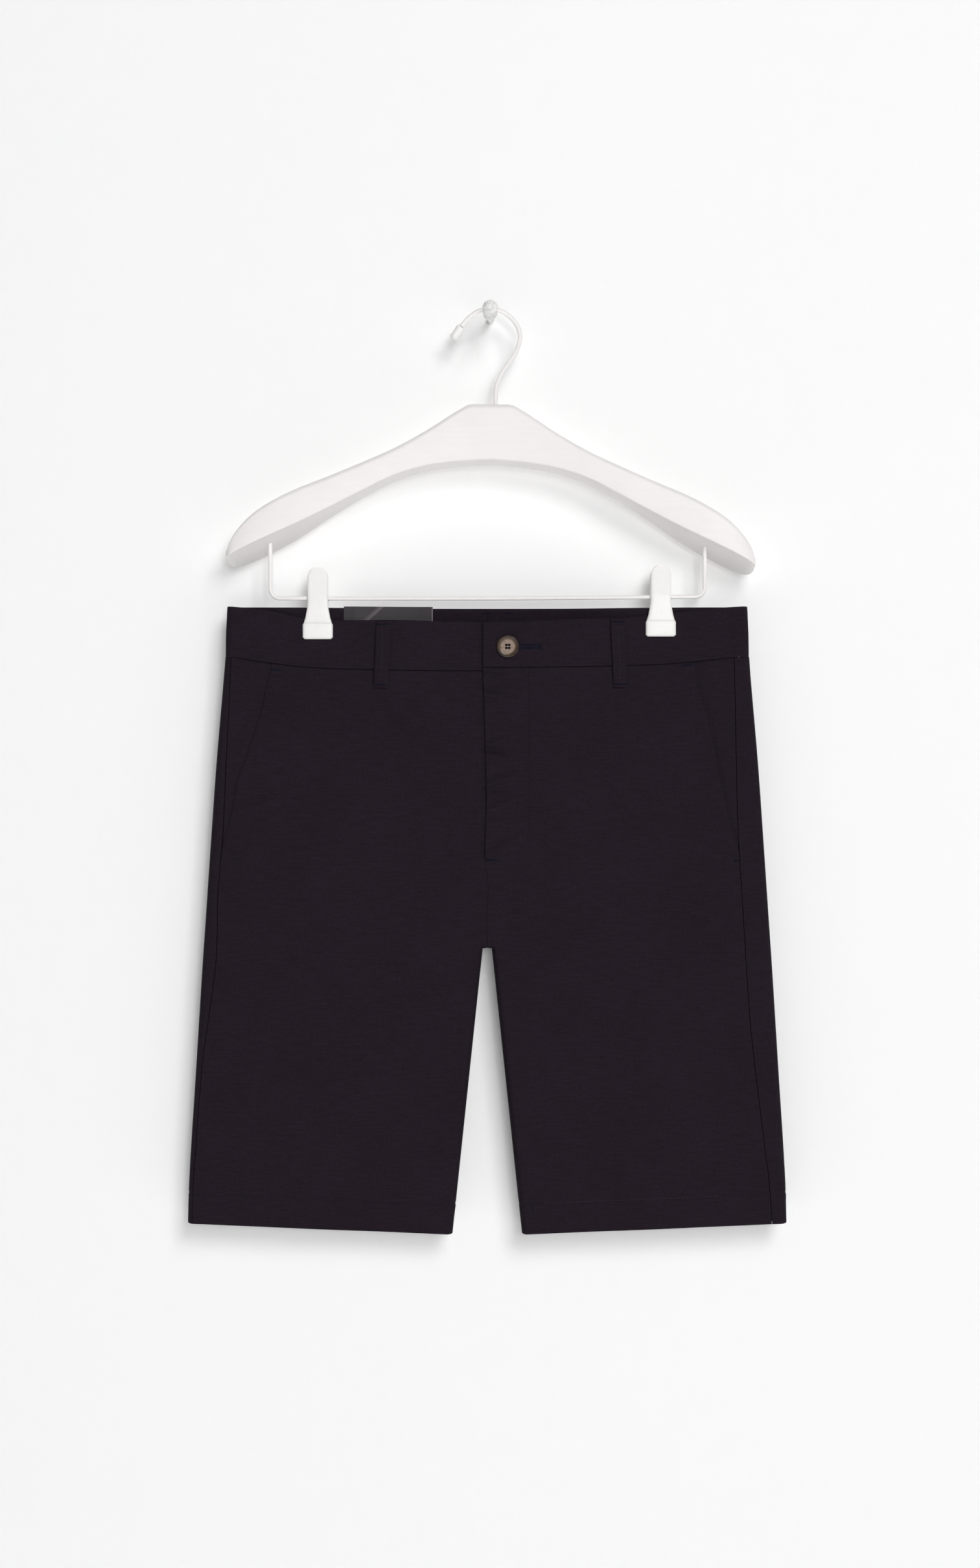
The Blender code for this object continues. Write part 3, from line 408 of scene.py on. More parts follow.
def garment_point(x, drop, face, out=0.0):
    """Points of the flattened garment's surface, moved outwards by "out".

    The section is two flat layers joined by an elliptic fold at the outer edge and, on the
    legs and round the crotch, at the inner edge. The creases lift every layer alike, and fade
    at the folds, at the waist and under the clips.
    """
    x, drop, face, out = np.broadcast_arrays(
        np.asarray(x, float), np.asarray(drop, float), face, np.asarray(out, float)
    )
    side = np.where(x < 0, -1.0, 1.0)
    reach = np.abs(x)
    fold_start = half_width(drop) - SIDE_FOLD
    lean = np.clip((reach - fold_start) / SIDE_FOLD, 0.0, 1.0)
    rise = np.sqrt(1 - lean**2)
    distance, away_x, away_down = fork_edge(reach, drop)
    lift = smooth((fold_start - reach) / 0.010) * smooth(distance / 0.012)
    lift = lift * open_share(x, drop) * smooth((drop - 0.030) / 0.030)
    out = out + creases(x, drop, face) * lift * crease_strength()
    reach = np.where(lean > 0, fold_start + (SIDE_FOLD + out) * lean, reach)
    inner_lean = np.clip(1 - distance / INNER_FOLD, 0.0, 1.0)
    rise = rise * np.sqrt(1 - inner_lean**2)
    reach = reach - out * inner_lean * away_x
    drop = drop - out * inner_lean * away_down
    depth = PINCHED_DEPTH + (HALF_DEPTH - PINCHED_DEPTH) * open_share(x, drop)
    depth = np.maximum((depth + out) * rise, GAP / 2)
    return np.stack([CENTRE_X + side * reach, MID_Y + face * depth, WAIST_Z - drop], axis=-1)


def crease_strength():
    """Share of the creases' height that the user's setting asks for."""
    return bpy.context.scene.shorts_cloth.crease_strength


# ---------------------------------------------------------------- laying surfaces in meshes
def grid_quads(rows, columns, first=0):
    """Quads of a grid of points that are numbered along its rows."""
    grid = first + np.arange(rows * columns).reshape(rows, columns)
    return np.stack([grid[:-1, :-1], grid[:-1, 1:], grid[1:, 1:], grid[1:, :-1]], axis=-1)


def wall_quads(rows, columns):
    """Quads of a closed wall: an outer grid, an inner one turned round, and their rim."""
    count = rows * columns
    grid = np.arange(count).reshape(rows, columns)
    ring = np.concatenate([grid[0], grid[1:, -1], grid[-1, -2::-1], grid[-2:0:-1, 0]])
    after = np.roll(ring, -1)
    rim = np.stack([after, ring, ring + count, after + count], axis=-1)
    outer = grid_quads(rows, columns).reshape(-1, 4)
    inner = grid_quads(rows, columns, count).reshape(-1, 4)[:, ::-1]
    return np.concatenate([outer, inner, rim])


def tube_faces(rings, sides):
    """Quads round a tube of rings, and triangles to a middle point at either end."""
    grid = np.arange(rings * sides).reshape(rings, sides)
    beside = np.roll(grid, -1, axis=1)
    quads = np.stack([grid[:-1], beside[:-1], beside[1:], grid[1:]], axis=-1).reshape(-1, 4)
    start = np.full(sides, rings * sides)
    caps = [
        np.stack([beside[0], grid[0], start], axis=-1),
        np.stack([grid[-1], beside[-1], start + 1], axis=-1),
    ]
    return quads, np.concatenate(caps)


def signed_volume(points, corners):
    """Volume inside triangles, positive where they face outwards."""
    a, b, c = points[corners[:, 0]], points[corners[:, 1]], points[corners[:, 2]]
    return (a * np.cross(b, c)).sum() / 6


def make_piece(name, points, quads, finish, triangles=(), pattern=None, sharp=50):
    """Object of a closed surface at the origin, facing outwards.

    "pattern" gives each point's place on the flat cut, in metres, as the UV map "cut".
    """
    points = np.asarray(points, float).reshape(-1, 3)
    quads = np.asarray(quads, int).reshape(-1, 4)
    triangles = np.asarray(triangles, int).reshape(-1, 3)
    halves = [quads[:, [0, 1, 2]], quads[:, [0, 2, 3]], triangles]
    if signed_volume(points - points.mean(axis=0), np.concatenate(halves)) < 0:
        quads = quads[:, ::-1]
        triangles = triangles[:, ::-1]
    corners = np.concatenate([quads.ravel(), triangles.ravel()])
    sizes = np.concatenate([np.full(len(quads), 4), np.full(len(triangles), 3)])
    mesh = bpy.data.meshes.new(name)
    mesh.vertices.add(len(points))
    mesh.vertices.foreach_set("co", points.astype(np.float32).ravel())
    mesh.loops.add(len(corners))
    mesh.loops.foreach_set("vertex_index", corners.astype(np.int32))
    mesh.polygons.add(len(sizes))
    mesh.polygons.foreach_set("loop_start", (np.cumsum(sizes) - sizes).astype(np.int32))
    mesh.update(calc_edges=True)
    if pattern is not None:
        layer = mesh.uv_layers.new(name="cut")
        layer.uv.foreach_set("vector", pattern[corners].astype(np.float32).ravel())
    mesh.shade_smooth()
    mesh.set_sharp_from_angle(angle=math.radians(sharp))
    mesh.materials.append(finish)
    piece = bpy.data.objects.new(name, mesh)
    bpy.context.scene.collection.objects.link(piece)
    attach(piece, "root")
    return piece


def run_between(start, stop, count, fine=EDGE_STEPS):
    """Places from start to stop on each row: close together at both ends, even between."""
    fine = np.array(fine)
    way = np.sign(stop - start)
    near = start + way * fine
    far = stop - way * fine[::-1]
    share = np.linspace(0, 1, count + 2)[1:-1]
    even = near[..., -1:] + (far[..., :1] - near[..., -1:]) * share
    return np.concatenate([near, even, far], axis=-1)


def spaced_rows(stops, spacing):
    """Drops through the given stops, at about even spacing between them."""
    parts = [
        np.linspace(start, stop, max(round((stop - start) / spacing), 1), endpoint=False)
        for start, stop in zip(stops, stops[1:])
    ]
    return np.concatenate([*parts, stops[-1:]])


def edge_distance(points):
    """Distance of each grid point from the nearest of the grid's four edges, along it."""
    across = np.linalg.norm(np.diff(points, axis=1), axis=-1)
    down = np.linalg.norm(np.diff(points, axis=0), axis=-1)
    left = np.pad(np.cumsum(across, axis=1), ((0, 0), (1, 0)))
    top = np.pad(np.cumsum(down, axis=0), ((1, 0), (0, 0)))
    return np.minimum.reduce([left, left[:, -1:] - left, top, top[-1:] - top])


def rounded(distance, radius):
    """How far a wall's face draws in near its edge: the drop of a quarter circle."""
    near = np.clip(1 - distance / radius, 0.0, 1.0)
    return radius * (1 - np.sqrt(np.maximum(1 - near**2, 0.0)))


def wall_piece(name, outer, inner, x, drop, finish):
    """Piece of a closed wall between two grids of points, with its cut laid out by x and drop."""
    points = np.concatenate([outer.reshape(-1, 3), inner.reshape(-1, 3)])
    pattern = np.concatenate([np.stack([x, drop], axis=-1).reshape(-1, 2)] * 2)
    piece = make_piece(name, points, wall_quads(*x.shape), finish_of(finish), pattern=pattern)
    return piece


def cut_area(x, drop, face):
    """Area of a piece laid flat: the sum of its grid's cells on the garment's form."""
    points = garment_point(x, drop, face)
    along = points[1:, 1:] - points[:-1, :-1]
    other = points[1:, :-1] - points[:-1, 1:]
    return float(np.linalg.norm(np.cross(along, other), axis=-1).sum() / 2)


def declare_sheet(piece, node, area):
    """Hides the node's own part, which the piece stands in for; the area is not used."""
    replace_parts(piece, node)


def cloth_piece(node, kind, x, drop, face, out, thickness, finish="cotton"):
    """Closed cloth wall on the garment's form, with round edges, that stands for a node.

    x, drop, face and out are grids over the piece, and its inner face lies "thickness" deeper.
    Both faces draw in by a quarter circle at the edges, where they all but meet.
    """
    x, drop, face, out, thickness = np.broadcast_arrays(x, drop, face, out, thickness)
    middle = garment_point(x, drop, face, out - thickness / 2)
    draw = rounded(edge_distance(middle), EDGE_ROUND)
    outer = garment_point(x, drop, face, out - draw)
    inner = garment_point(x, drop, face, out - thickness + draw)
    piece = wall_piece(f"{node}_{kind}", outer, inner, x, drop, finish)
    declare_sheet(piece, node, cut_area(x, drop, face))


# ---------------------------------------------------------------- the panels
def seam_shift(x, level, face, side):
    """How far a row moves down to follow the waist seam, fading out below it."""
    at_seam = seam_drop(x, face, side) + GAP / 2 - BACK_SEAM_DROP
    return at_seam * (1 - smooth((level - BACK_SEAM_DROP - 0.001) / SEAM_FOLLOW))


def panel_drops(columns_at, side):
    """Grid of a panel from its waist seam to its hem.

    columns_at(drops) gives the x and face of each column on every row. A row's drop follows
    the waist seam at the top and the hem at the foot, and is level between.
    """
    hem = HEM_INSIDE_DROP
    seam = BACK_SEAM_DROP
    creased_top = seam + 0.006
    creased_foot = FLY_BASE + 0.004
    fold_top = hem - HEM_DEPTH - 0.003
    fold_foot = hem - HEM_DEPTH + 0.003
    upper = spaced_rows([seam, seam + 0.0015, creased_top], EDGE_ROWS)[:-1]
    creased = spaced_rows([creased_top, creased_foot], CREASED_ROWS)[:-1]
    middle = spaced_rows([creased_foot, CROTCH_DROP - INNER_FOLD], PLAIN_ROWS)[:-1]
    fork = CROTCH_DROP - INNER_FOLD * (1 - np.sin(np.linspace(0, math.pi / 2, 7)))
    leg = spaced_rows([CROTCH_DROP + 0.0004, CROTCH_DROP + 0.006, fold_top], LEG_ROWS)
    fold = spaced_rows([fold_top, fold_foot], EDGE_ROWS)[1:]
    turn_up = spaced_rows([fold_foot, hem - 0.0018], TURN_UP_ROWS)[1:]
    edge = hem - np.array([0.0012, 0.0008, 0.0005, 0.00025, 0.0])
    levels = np.concatenate([upper, creased, middle, fork, leg, fold, turn_up, edge])
    x, face = columns_at(levels)
    level = np.broadcast_to(levels[:, None], x.shape)
    to_hem = smooth((level - hem + 0.075) / 0.042)
    drop = level + seam_shift(x, level, face, side) + (hem_drop(x) - hem) * to_hem
    return x, drop, face


def fly_ramps(drop):
    """Shares of the step down and of the underlap beside the fly, both 0 at its foot."""
    return smooth((FLY_BASE - drop) / 0.008), smooth((FLY_BASE - 0.008 - drop) / 0.008)


def fork_columns(side, centre, start, drops):
    """Columns from a start to a panel's inner edge, fine at the fold between the legs.

    Above the fork they run on to the centre, and on a leg the last ones close up at its edge.
    """
    hinge = side * np.where(drops > CROTCH_DROP, inner_edge(drops), CROTCH_HALF_GAP)
    end = np.where(drops > CROTCH_DROP, hinge - side * GAP, centre)
    near = hinge + side * INNER_FOLD
    across = start + (near - start) * np.linspace(0, 1, 15)[1:]
    fold = hinge + (near - hinge) * (1 - np.sin(np.linspace(0, math.pi / 2, 9)))[1:]
    rest = end + (hinge - end) * np.array([0.72, 0.46, 0.26, 0.12, 0.04, 0.0])
    return np.concatenate([across, fold, rest], axis=1)


def front_columns(side):
    """Columns of a front panel, from the pocket mouth or side seam to its inner edge."""

    def columns_at(drops):
        drops = drops[:, None]
        mouth = pocket_reach(side, drops)
        outer = side * (np.where(drops < POCKET_BASE, mouth, seam_reach(side, drops)) - GAP / 2)
        edge = fly_x(drops)
        open_gap = np.where(drops < FLY_BASE, GAP / 2, 0.0)
        centre = edge + open_gap
        if side == RIGHT:
            centre = edge - open_gap + (FLY_UNDERLAP + GAP / 2) * fly_ramps(drops)[1]
        groove = side * (J_STITCH_X - 0.0003 * np.arange(-6, 7)) + 0 * outer
        start = run_between(outer, groove[:, :1], 84)[:, :-5]
        inner = fork_columns(side, centre, groove[:, -1:], drops)
        x = np.concatenate([start, groove, inner], axis=1)
        return x, np.full(x.shape, FRONT)

    return columns_at


def back_columns(side):
    """Columns of a back panel, from the side seam round the outer fold to its inner edge."""

    def columns_at(drops):
        drops = drops[:, None]
        width = half_width(drops)
        inset = width - seam_reach(side, drops) - GAP / 2
        turn = np.sin(np.linspace(0, math.pi / 2, 13))[:-1]
        wrap = np.concatenate([width - inset, width - inset + 0.0002 + 0 * width], axis=1)
        wrap = np.concatenate([wrap, width - (inset - 0.0002) * (1 - turn[1:])], axis=1)
        fold = width - SIDE_FOLD * (1 - np.cos(np.linspace(0, math.pi / 2, 9)))
        start = width - SIDE_FOLD
        stop = J_STITCH_X + 0 * width
        across = start + (stop - start) * np.linspace(0, 1, 74)[1:]
        inner = side * fork_columns(side, 0 * width, side * stop, drops)
        reach = np.concatenate([wrap, fold, across, inner], axis=1)
        face = np.full(reach.shape, BACK)
        face[:, : wrap.shape[1]] = FRONT
        return side * reach, face

    return columns_at


def hem_layers(x, drop):
    """Extra thickness of the turned-up hem, from its sewn edge down."""
    return HEM_TURN_UP * smooth((drop - hem_drop(x) + HEM_DEPTH + 0.0004) / 0.0008)


def sewn_groove(distance, width, depth):
    """Bell-shaped furrow along a row of stitches."""
    return -depth * np.exp(-((distance / width) ** 2))


def panel_relief(x, drop, face, side):
    """Furrows at the hem's and fly's stitches, with puckers at the hem and the waist seam."""
    from_hem = drop - hem_drop(x) + HEM_DEPTH
    along = x / 0.0085
    pucker = 0.5 + 0.5 * np.sin(2 * math.pi * (along + 0.35 * np.sin(1.7 * along)))
    out = sewn_groove(from_hem, 0.0011, 0.00035) * (0.6 + 0.4 * pucker)
    out += 0.00022 * pucker * np.exp(-(((from_hem - 0.003) / 0.0035) ** 2))
    from_seam = drop - seam_drop(x, face, side)
    ease = 0.5 + 0.5 * np.sin(x / 0.0031 + 2.0 * np.sin(x / 0.017))
    out += 0.00028 * (ease - 0.4) * np.exp(-(((from_seam - 0.004) / 0.0055) ** 2))
    if side == LEFT:
        on_front = face == FRONT
        j_x, j_drop = fly_stitch_line(400).T
        low = drop > J_CURVE_TOP - 0.004
        from_line = np.abs(x - J_STITCH_X)
        curve_part = np.where(low & (x < 0.05) & (drop < FLY_BASE + 0.01))
        flat_x, flat_drop = x[curve_part], drop[curve_part]
        nearest = np.hypot(flat_x[:, None] - j_x, flat_drop[:, None] - j_drop).min(axis=1)
        from_line = np.where(low, 0.02, from_line)
        from_line[curve_part] = nearest
        out += np.where(on_front, sewn_groove(from_line, 0.0009, 0.00030), 0.0)
    return out


def fly_stitch_line(count):
    """(x, drop) points of the fly's J-shaped stitch line: straight down, then a quarter oval."""
    straight = count // 2
    top = seam_drop(np.array(J_STITCH_X), FRONT, LEFT)
    down = np.linspace(float(top) + 0.0008, J_CURVE_TOP, straight)
    turn = np.linspace(0, math.pi / 2, count - straight)
    foot_x = float(fly_x(FLY_BASE)) + 0.0015
    x = np.concatenate([np.full(straight, J_STITCH_X), foot_x + (J_STITCH_X - foot_x) * np.cos(turn)])
    drop = np.concatenate([down, J_CURVE_TOP + (FLY_BASE - J_CURVE_TOP) * np.sin(turn)])
    return np.stack([x, drop], axis=-1)


def front_push(side, x, drop):
    """How far the right front steps down to pass under the fly."""
    if side == LEFT:
        return 0.0
    start = fly_x(drop) - FLY_STEP
    step = fly_ramps(drop)[0] * smooth((x - start) / (FLY_STEP - GAP))
    return np.where(drop > FLY_BASE, 0.0, FRONT_UNDER_FLY * step)


def make_panels():
    """Two fronts and two backs, each one wall from the waist seam to the hem."""
    for side, word in SIDES:
        for part, columns in (("front", front_columns(side)), ("back", back_columns(side))):
            x, drop, face = panel_drops(columns, side)
            out = panel_relief(x, drop, face, side)
            if part == "front":
                out = out - front_push(side, x, drop)
            thickness = CLOTH + hem_layers(x, drop)
            cloth_piece(f"{part}_{word}", "panel", x, drop, face, out, thickness)


# ---------------------------------------------------------------- the waistband
def band_push(side, x):
    """How far the right half steps in to pass under the left half at the front."""
    if side == LEFT:
        return 0.0
    start = fly_x(BACK_SEAM_DROP) - FLY_STEP
    return (BAND_OUT + BAND_IN + GAP) * smooth((x - start) / (FLY_STEP - GAP))


def make_waistband():
    """Two halves, joined at the centre back; the left one overlaps at the front."""
    for side, word in SIDES:
        width = float(half_width(BACK_SEAM_DROP / 2))
        start = BAND_OVERLAP_END if side == RIGHT else float(fly_x(BACK_SEAM_DROP)) + GAP
        turn = np.array([side * (width - SIDE_FOLD)])
        front = run_between(np.array([start]), turn, 150)[: -len(EDGE_STEPS)]
        fold = width - SIDE_FOLD * (1 - np.sin(np.linspace(0, math.pi / 2, 10)))
        back = run_between(turn, np.array([0.0]), 150)[len(EDGE_STEPS):]
        x = np.concatenate([front, side * fold, side * fold[-2::-1], back])
        face = np.full(x.shape, BACK)
        face[: len(front) + len(fold) - 1] = FRONT
        near = np.array([0.0, 0.0002, 0.0005, 0.0009, 0.0014, 0.0020]) / BAND_HEIGHT
        share = np.concatenate([near, np.linspace(near[-1], 1 - near[-1], 18)[1:-1], 1 - near[::-1]])
        x, share = np.meshgrid(x, share)
        face = np.broadcast_to(face, x.shape)
        top = top_drop(x, face)
        foot = np.where(np.abs(x) >= width, BACK_SEAM_DROP, seam_drop(x, face, side)) - GAP / 2
        foot = foot + BAND_LAP * smooth((np.abs(x) - width + 0.0080) / 0.0060)
        drop = top + (foot - top) * share
        out = BAND_OUT - np.where(face == FRONT, band_push(side, x), 0.0)
        near_top = np.where(face == BACK, (drop - top - 0.0016) / 0.0008, 9.0)
        out = out - 0.00025 * np.exp(-(near_top**2))
        wave = np.sin(x / 0.0052 + 1.5 * np.sin(x / 0.021)) * open_share(x, drop)
        out = out + 0.00016 * wave * np.exp(-(((foot - drop - 0.004) / 0.006) ** 2))
        out = out + 0.00012 * wave * np.exp(-(((drop - top - 0.004) / 0.005) ** 2))
        node = f"waistband_{word}"
        cloth_piece(node, "band", x, drop, face, out, BAND_OUT + BAND_IN)


# ---------------------------------------------------------------- behind the fly
def fly_strip(node, start, end, layer, thickness, finish, foot, curved=False):
    """Strip behind the fly; "start" and "end" are measured from the fly's edge.

    A curved one narrows to a rounded foot along the J of the fly's stitches.
    """
    top = max(row[2] for row in FRONT_WAIST[RIGHT]) + 2 * GAP
    drop = spaced_rows([top, top + 0.001, foot - 0.001, foot], 0.0030)[:, None]
    edge = fly_x(drop)
    reach = np.full(drop.shape, end)
    if curved:
        down = np.clip((drop - J_CURVE_TOP) / (FLY_BASE - J_CURVE_TOP), 0.0, 1.0)
        reach = start + (end - start) * np.maximum(np.sqrt(1 - down**2), 0.25)
    x = run_between(edge + start, edge + reach, 8, (0.0, 0.0003, 0.0008))
    cloth_piece(node, "strip", x, drop, FRONT, -layer, thickness, finish)


def make_fly():
    """The J-shaped facing, the shield and the zip's tape."""
    facing_end = J_STITCH_X - float(fly_x(BACK_SEAM_DROP))
    fly_strip("fly_facing", GAP, facing_end, LAYER, CLOTH, "cotton", FLY_BASE, True)
    fly_strip("fly_shield", -0.0110, 0.0300, SHIELD_LAYER, CLOTH, "cotton", FLY_BASE)
    fly_strip("zip_tape", -0.0060, 0.0230, TAPE_LAYER, TAPE_THICKNESS, "zip", ZIP_FOOT)


# ---------------------------------------------------------------- the slant pockets
def make_pocket_facings():
    """The hip pieces that show beside each pocket mouth and pass under the front."""
    for side, word in SIDES:
        foot = POCKET_BASE - 0.0005
        level = spaced_rows([BACK_SEAM_DROP, BACK_SEAM_DROP + 0.006, foot], 0.0022)[:, None]
        seam = seam_reach(side, level) - GAP / 2
        mouth = pocket_reach(side, level)
        inner = np.minimum(mouth, seam - 0.003)
        shown = run_between(seam, inner, 14, (0.0, 0.0002, 0.0005))
        under = inner - FACING_UNDERLAP * np.linspace(0, 1, 7)[1:]
        reach = np.concatenate([shown, under], axis=1)
        level = np.broadcast_to(level, reach.shape)
        x = side * reach
        drop = level + seam_shift(x, level, FRONT, side)
        share = (pocket_reach(side, level) + FACING_STEP - reach) / (FACING_STEP - GAP)
        out = -LAYER * smooth(share)
        node = f"pocket_facing_{word}"
        cloth_piece(node, "panel", x, drop, FRONT, out, CLOTH)


def make_pocket_bags():
    """A bag behind each mouth: one folded sheet, from the mouth to its inner fold and back."""
    for side, word in SIDES:
        drop = np.linspace(BAG_TOP_DROP, BAG_FOOT_DROP, 60)[:, None]
        outer = np.minimum(pocket_reach(side, np.minimum(drop, POCKET_BASE)), BAG_OUTER_REACH)
        taper = smooth((drop - BAG_TAPER_DROP) / (BAG_FOOT_DROP - BAG_TAPER_DROP))
        inner = BAG_INNER_REACH + BAG_TAPER * taper
        share = np.linspace(0, 1, 40)
        turn = np.linspace(0, math.pi, 11)[1:-1]
        swing = (BAG_FOLD + 2 * CLOTH) / 2
        inwards = outer + (inner - outer) * share
        round_fold = inner - swing * np.sin(turn)
        back_again = inner + (outer + BAG_BACK_STEP - inner) * share
        reach = np.concatenate([inwards, round_fold, back_again], axis=1)
        middle = BAG_LAYER + swing
        near_layer = np.full(len(share), BAG_LAYER)
        far_layer = np.full(len(share), middle + swing)
        depth = np.concatenate([near_layer, middle - swing * np.cos(turn), far_layer])
        x = side * reach
        drop = np.broadcast_to(drop, x.shape)
        near = garment_point(x, drop, FRONT, -depth + 0 * x)
        along = np.gradient(near, axis=1)
        along[..., 2] = 0.0
        along /= np.linalg.norm(along, axis=-1, keepdims=True)
        normal = np.stack([along[..., 1], -along[..., 0], 0 * along[..., 0]], axis=-1) * side
        node = f"pocket_bag_{word}"
        piece = wall_piece(f"{node}_sheet", near, near + normal * CLOTH, x, drop, "pocketing")
        middle_row = near[len(near) // 2]
        length = float(np.linalg.norm(np.diff(middle_row, axis=0), axis=-1).sum())
        area = length * float(np.ptp(drop)) * BAG_AREA_SHARE
        declare_sheet(piece, node, area)


# ---------------------------------------------------------------- belt loops and label
def loop_surface(top_x, share):
    """Stand-off of a belt loop's outer face along its length, bent a little between its ends."""
    bend = 0.0003 * np.sin(9.0 * share + 5 * top_x)
    bend = bend * smooth(share / 0.2) * smooth((1 - share) / 0.25)
    return curve(LOOP_STAND_OFF, share) + LOOP_THICKNESS + bend


def make_belt_loops():
    """Folded strips with a sewn-down foot: a wall whose face crowns at both long edges."""
    for name, (face, top_x, foot_x, top, foot) in BELT_LOOPS.items():
        share = spaced_rows([0.0, 0.02, 0.98, 1.0], 0.012)[:, None]
        across = np.linspace(-1, 1, 17)
        flare = 1 + 0.05 * smooth((share - 0.85) / 0.15)
        x = top_x + (foot_x - top_x) * share + LOOP_HALF_WIDTH * flare * across
        drop = np.broadcast_to(top + (foot - top) * share, x.shape)
        crown = 0.00022 * (1 - np.abs(across) ** 3) - 0.00016 * np.exp(-((across / 0.14) ** 2))
        tack = np.exp(-(((share - 0.955) / 0.025) ** 2)) + np.exp(-(((share - 0.05) / 0.025) ** 2))
        out = loop_surface(top_x, share) + crown - 0.0003 * tack
        cloth_piece(name, "strip", x, drop, face, out, LOOP_THICKNESS)


def make_label():
    """The blank label on the inside of the back waistband, a little bowed between its ends."""
    across = np.linspace(0, 1, 90)
    x = LABEL_SPAN[0] + (LABEL_SPAN[1] - LABEL_SPAN[0]) * across
    drop = np.linspace(0.0, LABEL_DEPTH, 36)
    x, drop = np.meshgrid(x, drop)
    share = (x - LABEL_SPAN[0]) / (LABEL_SPAN[1] - LABEL_SPAN[0])
    bow = 0.0002 * np.sin(11 * share + 30 * drop) * np.sin(math.pi * share) * open_share(x, drop)
    out = -(BAND_IN + GAP) - np.maximum(bow, 0.0)
    cloth_piece("inner_label", "sheet", x, drop, BACK, out, LABEL_THICKNESS, "satin")


# ---------------------------------------------------------------- thread
# (distance from one stitch to the next, length of a stitch, stand-off from the cloth)
PALE_HEM_STITCH = (0.0033, 0.0025, -0.00018)
HEM_STITCH = (0.0033, 0.0025, -0.00022)
FLY_STITCH = (0.0027, 0.0020, -0.00014)
WAIST_STITCH = (0.0028, 0.0019, -0.00012)
BACK_WAIST_STITCH = (0.0028, 0.0020, -0.00010)
BACK_SEAM_STITCH = (0.0028, 0.0020, -0.00002)
TOP_STITCH = (0.0027, 0.0019, -0.00015)
INSIDE_STITCH = (0.0027, 0.0017, -0.00002)
LOOP_STITCH = (0.0027, 0.0017, 0.00010)

# (x where it starts, x where it stops) of a run along the left front's hem
PALE_HEM_RUN = (0.0455, 0.1935)
LEFT_HEM_ENDS = [(0.0320, 0.0440), (0.1945, 0.2330)]
# Dark thread on these runs is painted shade: it stands for the shadows in the stitch holes.
# (side, x where it starts, x where it stops) of a run on the front's waist seam
WAIST_HOLE_SHADE_RUNS = [
    (RIGHT, -0.2000, -0.0960), (RIGHT, -0.0810, -0.0110),
    (LEFT, 0.0020, 0.1040), (LEFT, 0.1184, 0.1960),
]
TOP_RUN = (-0.2090, 0.2090)
BACK_SEAM_X = 0.0016

TACK_SPACING = 0.00034
TACK_LEAN = 0.00012
# Bar tacks: x, drop, face, stand-off from the form, degrees from level, length, width
OUTSIDE_TACKS = [
    (0.0040, 0.2122, FRONT, 0.00008, -4, 0.0096, 0.0016),
    (-0.1768, 0.0534, FRONT, 0.00008, -8, 0.0082, 0.0016),
    (0.1670, 0.0494, FRONT, 0.00008, 8, 0.0088, 0.0016),
    (0.2074, 0.2128, FRONT, 0.00008, 4, 0.0040, 0.0016),
    (-0.2218, 0.2090, FRONT, 0.00008, -60, 0.0032, 0.0016),
    (-0.2326, 0.3458, FRONT, 0.00008, -30, 0.0020, 0.0010),
    (0.0379, 0.5040, FRONT, 0.00006, 88, 0.0064, 0.0008),
]
INSIDE_TACKS = [
    (-0.0004, 0.0056, BACK, -BAND_IN - 0.00008, 0, 0.0076, 0.0013),
    (0.0185, 0.0051, BACK, -BAND_IN - 0.00008, 0, 0.0064, 0.0013),
]
BUTTONHOLE = (0.0215, 0.0412)
BUTTONHOLE_LIP = 0.0013
BUTTONHOLE_EYE = 0.0016
BUTTON_DISH = 0.0009
BUTTON_HOLES_OUT = 0.00135


def thread_points(starts, ends, normals, radius, bow, rings=5, sides=6):
    """Stitches as a joined surface: each a bowed capsule from a start to an end.

    A stitch's middle line is straight plus a half sine wave of height "bow" along its normal,
    and its radius swells from either end as the fourth root of a half sine wave.
    """
    share = np.linspace(0, 1, rings)
    along = ends - starts
    run = along / np.maximum(np.linalg.norm(along, axis=-1, keepdims=True), 1e-9)
    across = np.cross(run, normals)
    across /= np.maximum(np.linalg.norm(across, axis=-1, keepdims=True), 1e-9)
    up = np.cross(across, run)
    middle = starts[:, None] + along[:, None] * share[None, :, None]
    middle = middle + up[:, None] * (bow * np.sin(math.pi * share))[None, :, None]
    swell = radius * np.maximum(np.sin(math.pi * share), 0.02) ** 0.25
    angle = np.linspace(0, 2 * math.pi, sides, endpoint=False)
    ring = (
        across[:, None, None] * np.cos(angle)[None, None, :, None]
        + up[:, None, None] * np.sin(angle)[None, None, :, None]
    )
    body = middle[:, :, None] + ring * swell[None, :, None, None]
    tips = np.stack([starts, ends], axis=1)
    count = len(starts)
    points = np.concatenate([body.reshape(count, -1, 3), tips], axis=1)
    quads, triangles = tube_faces(rings, sides)
    step = points.shape[1] * np.arange(count)[:, None, None]
    return points.reshape(-1, 3), (quads + step).reshape(-1, 4), (triangles + step).reshape(-1, 3)


def outward(x, drop, face, out):
    """Unit direction out of the cloth at each point."""
    normal = garment_point(x, drop, face, out + 0.0002) - garment_point(x, drop, face, out)
    return normal / np.maximum(np.linalg.norm(normal, axis=-1, keepdims=True), 1e-9)


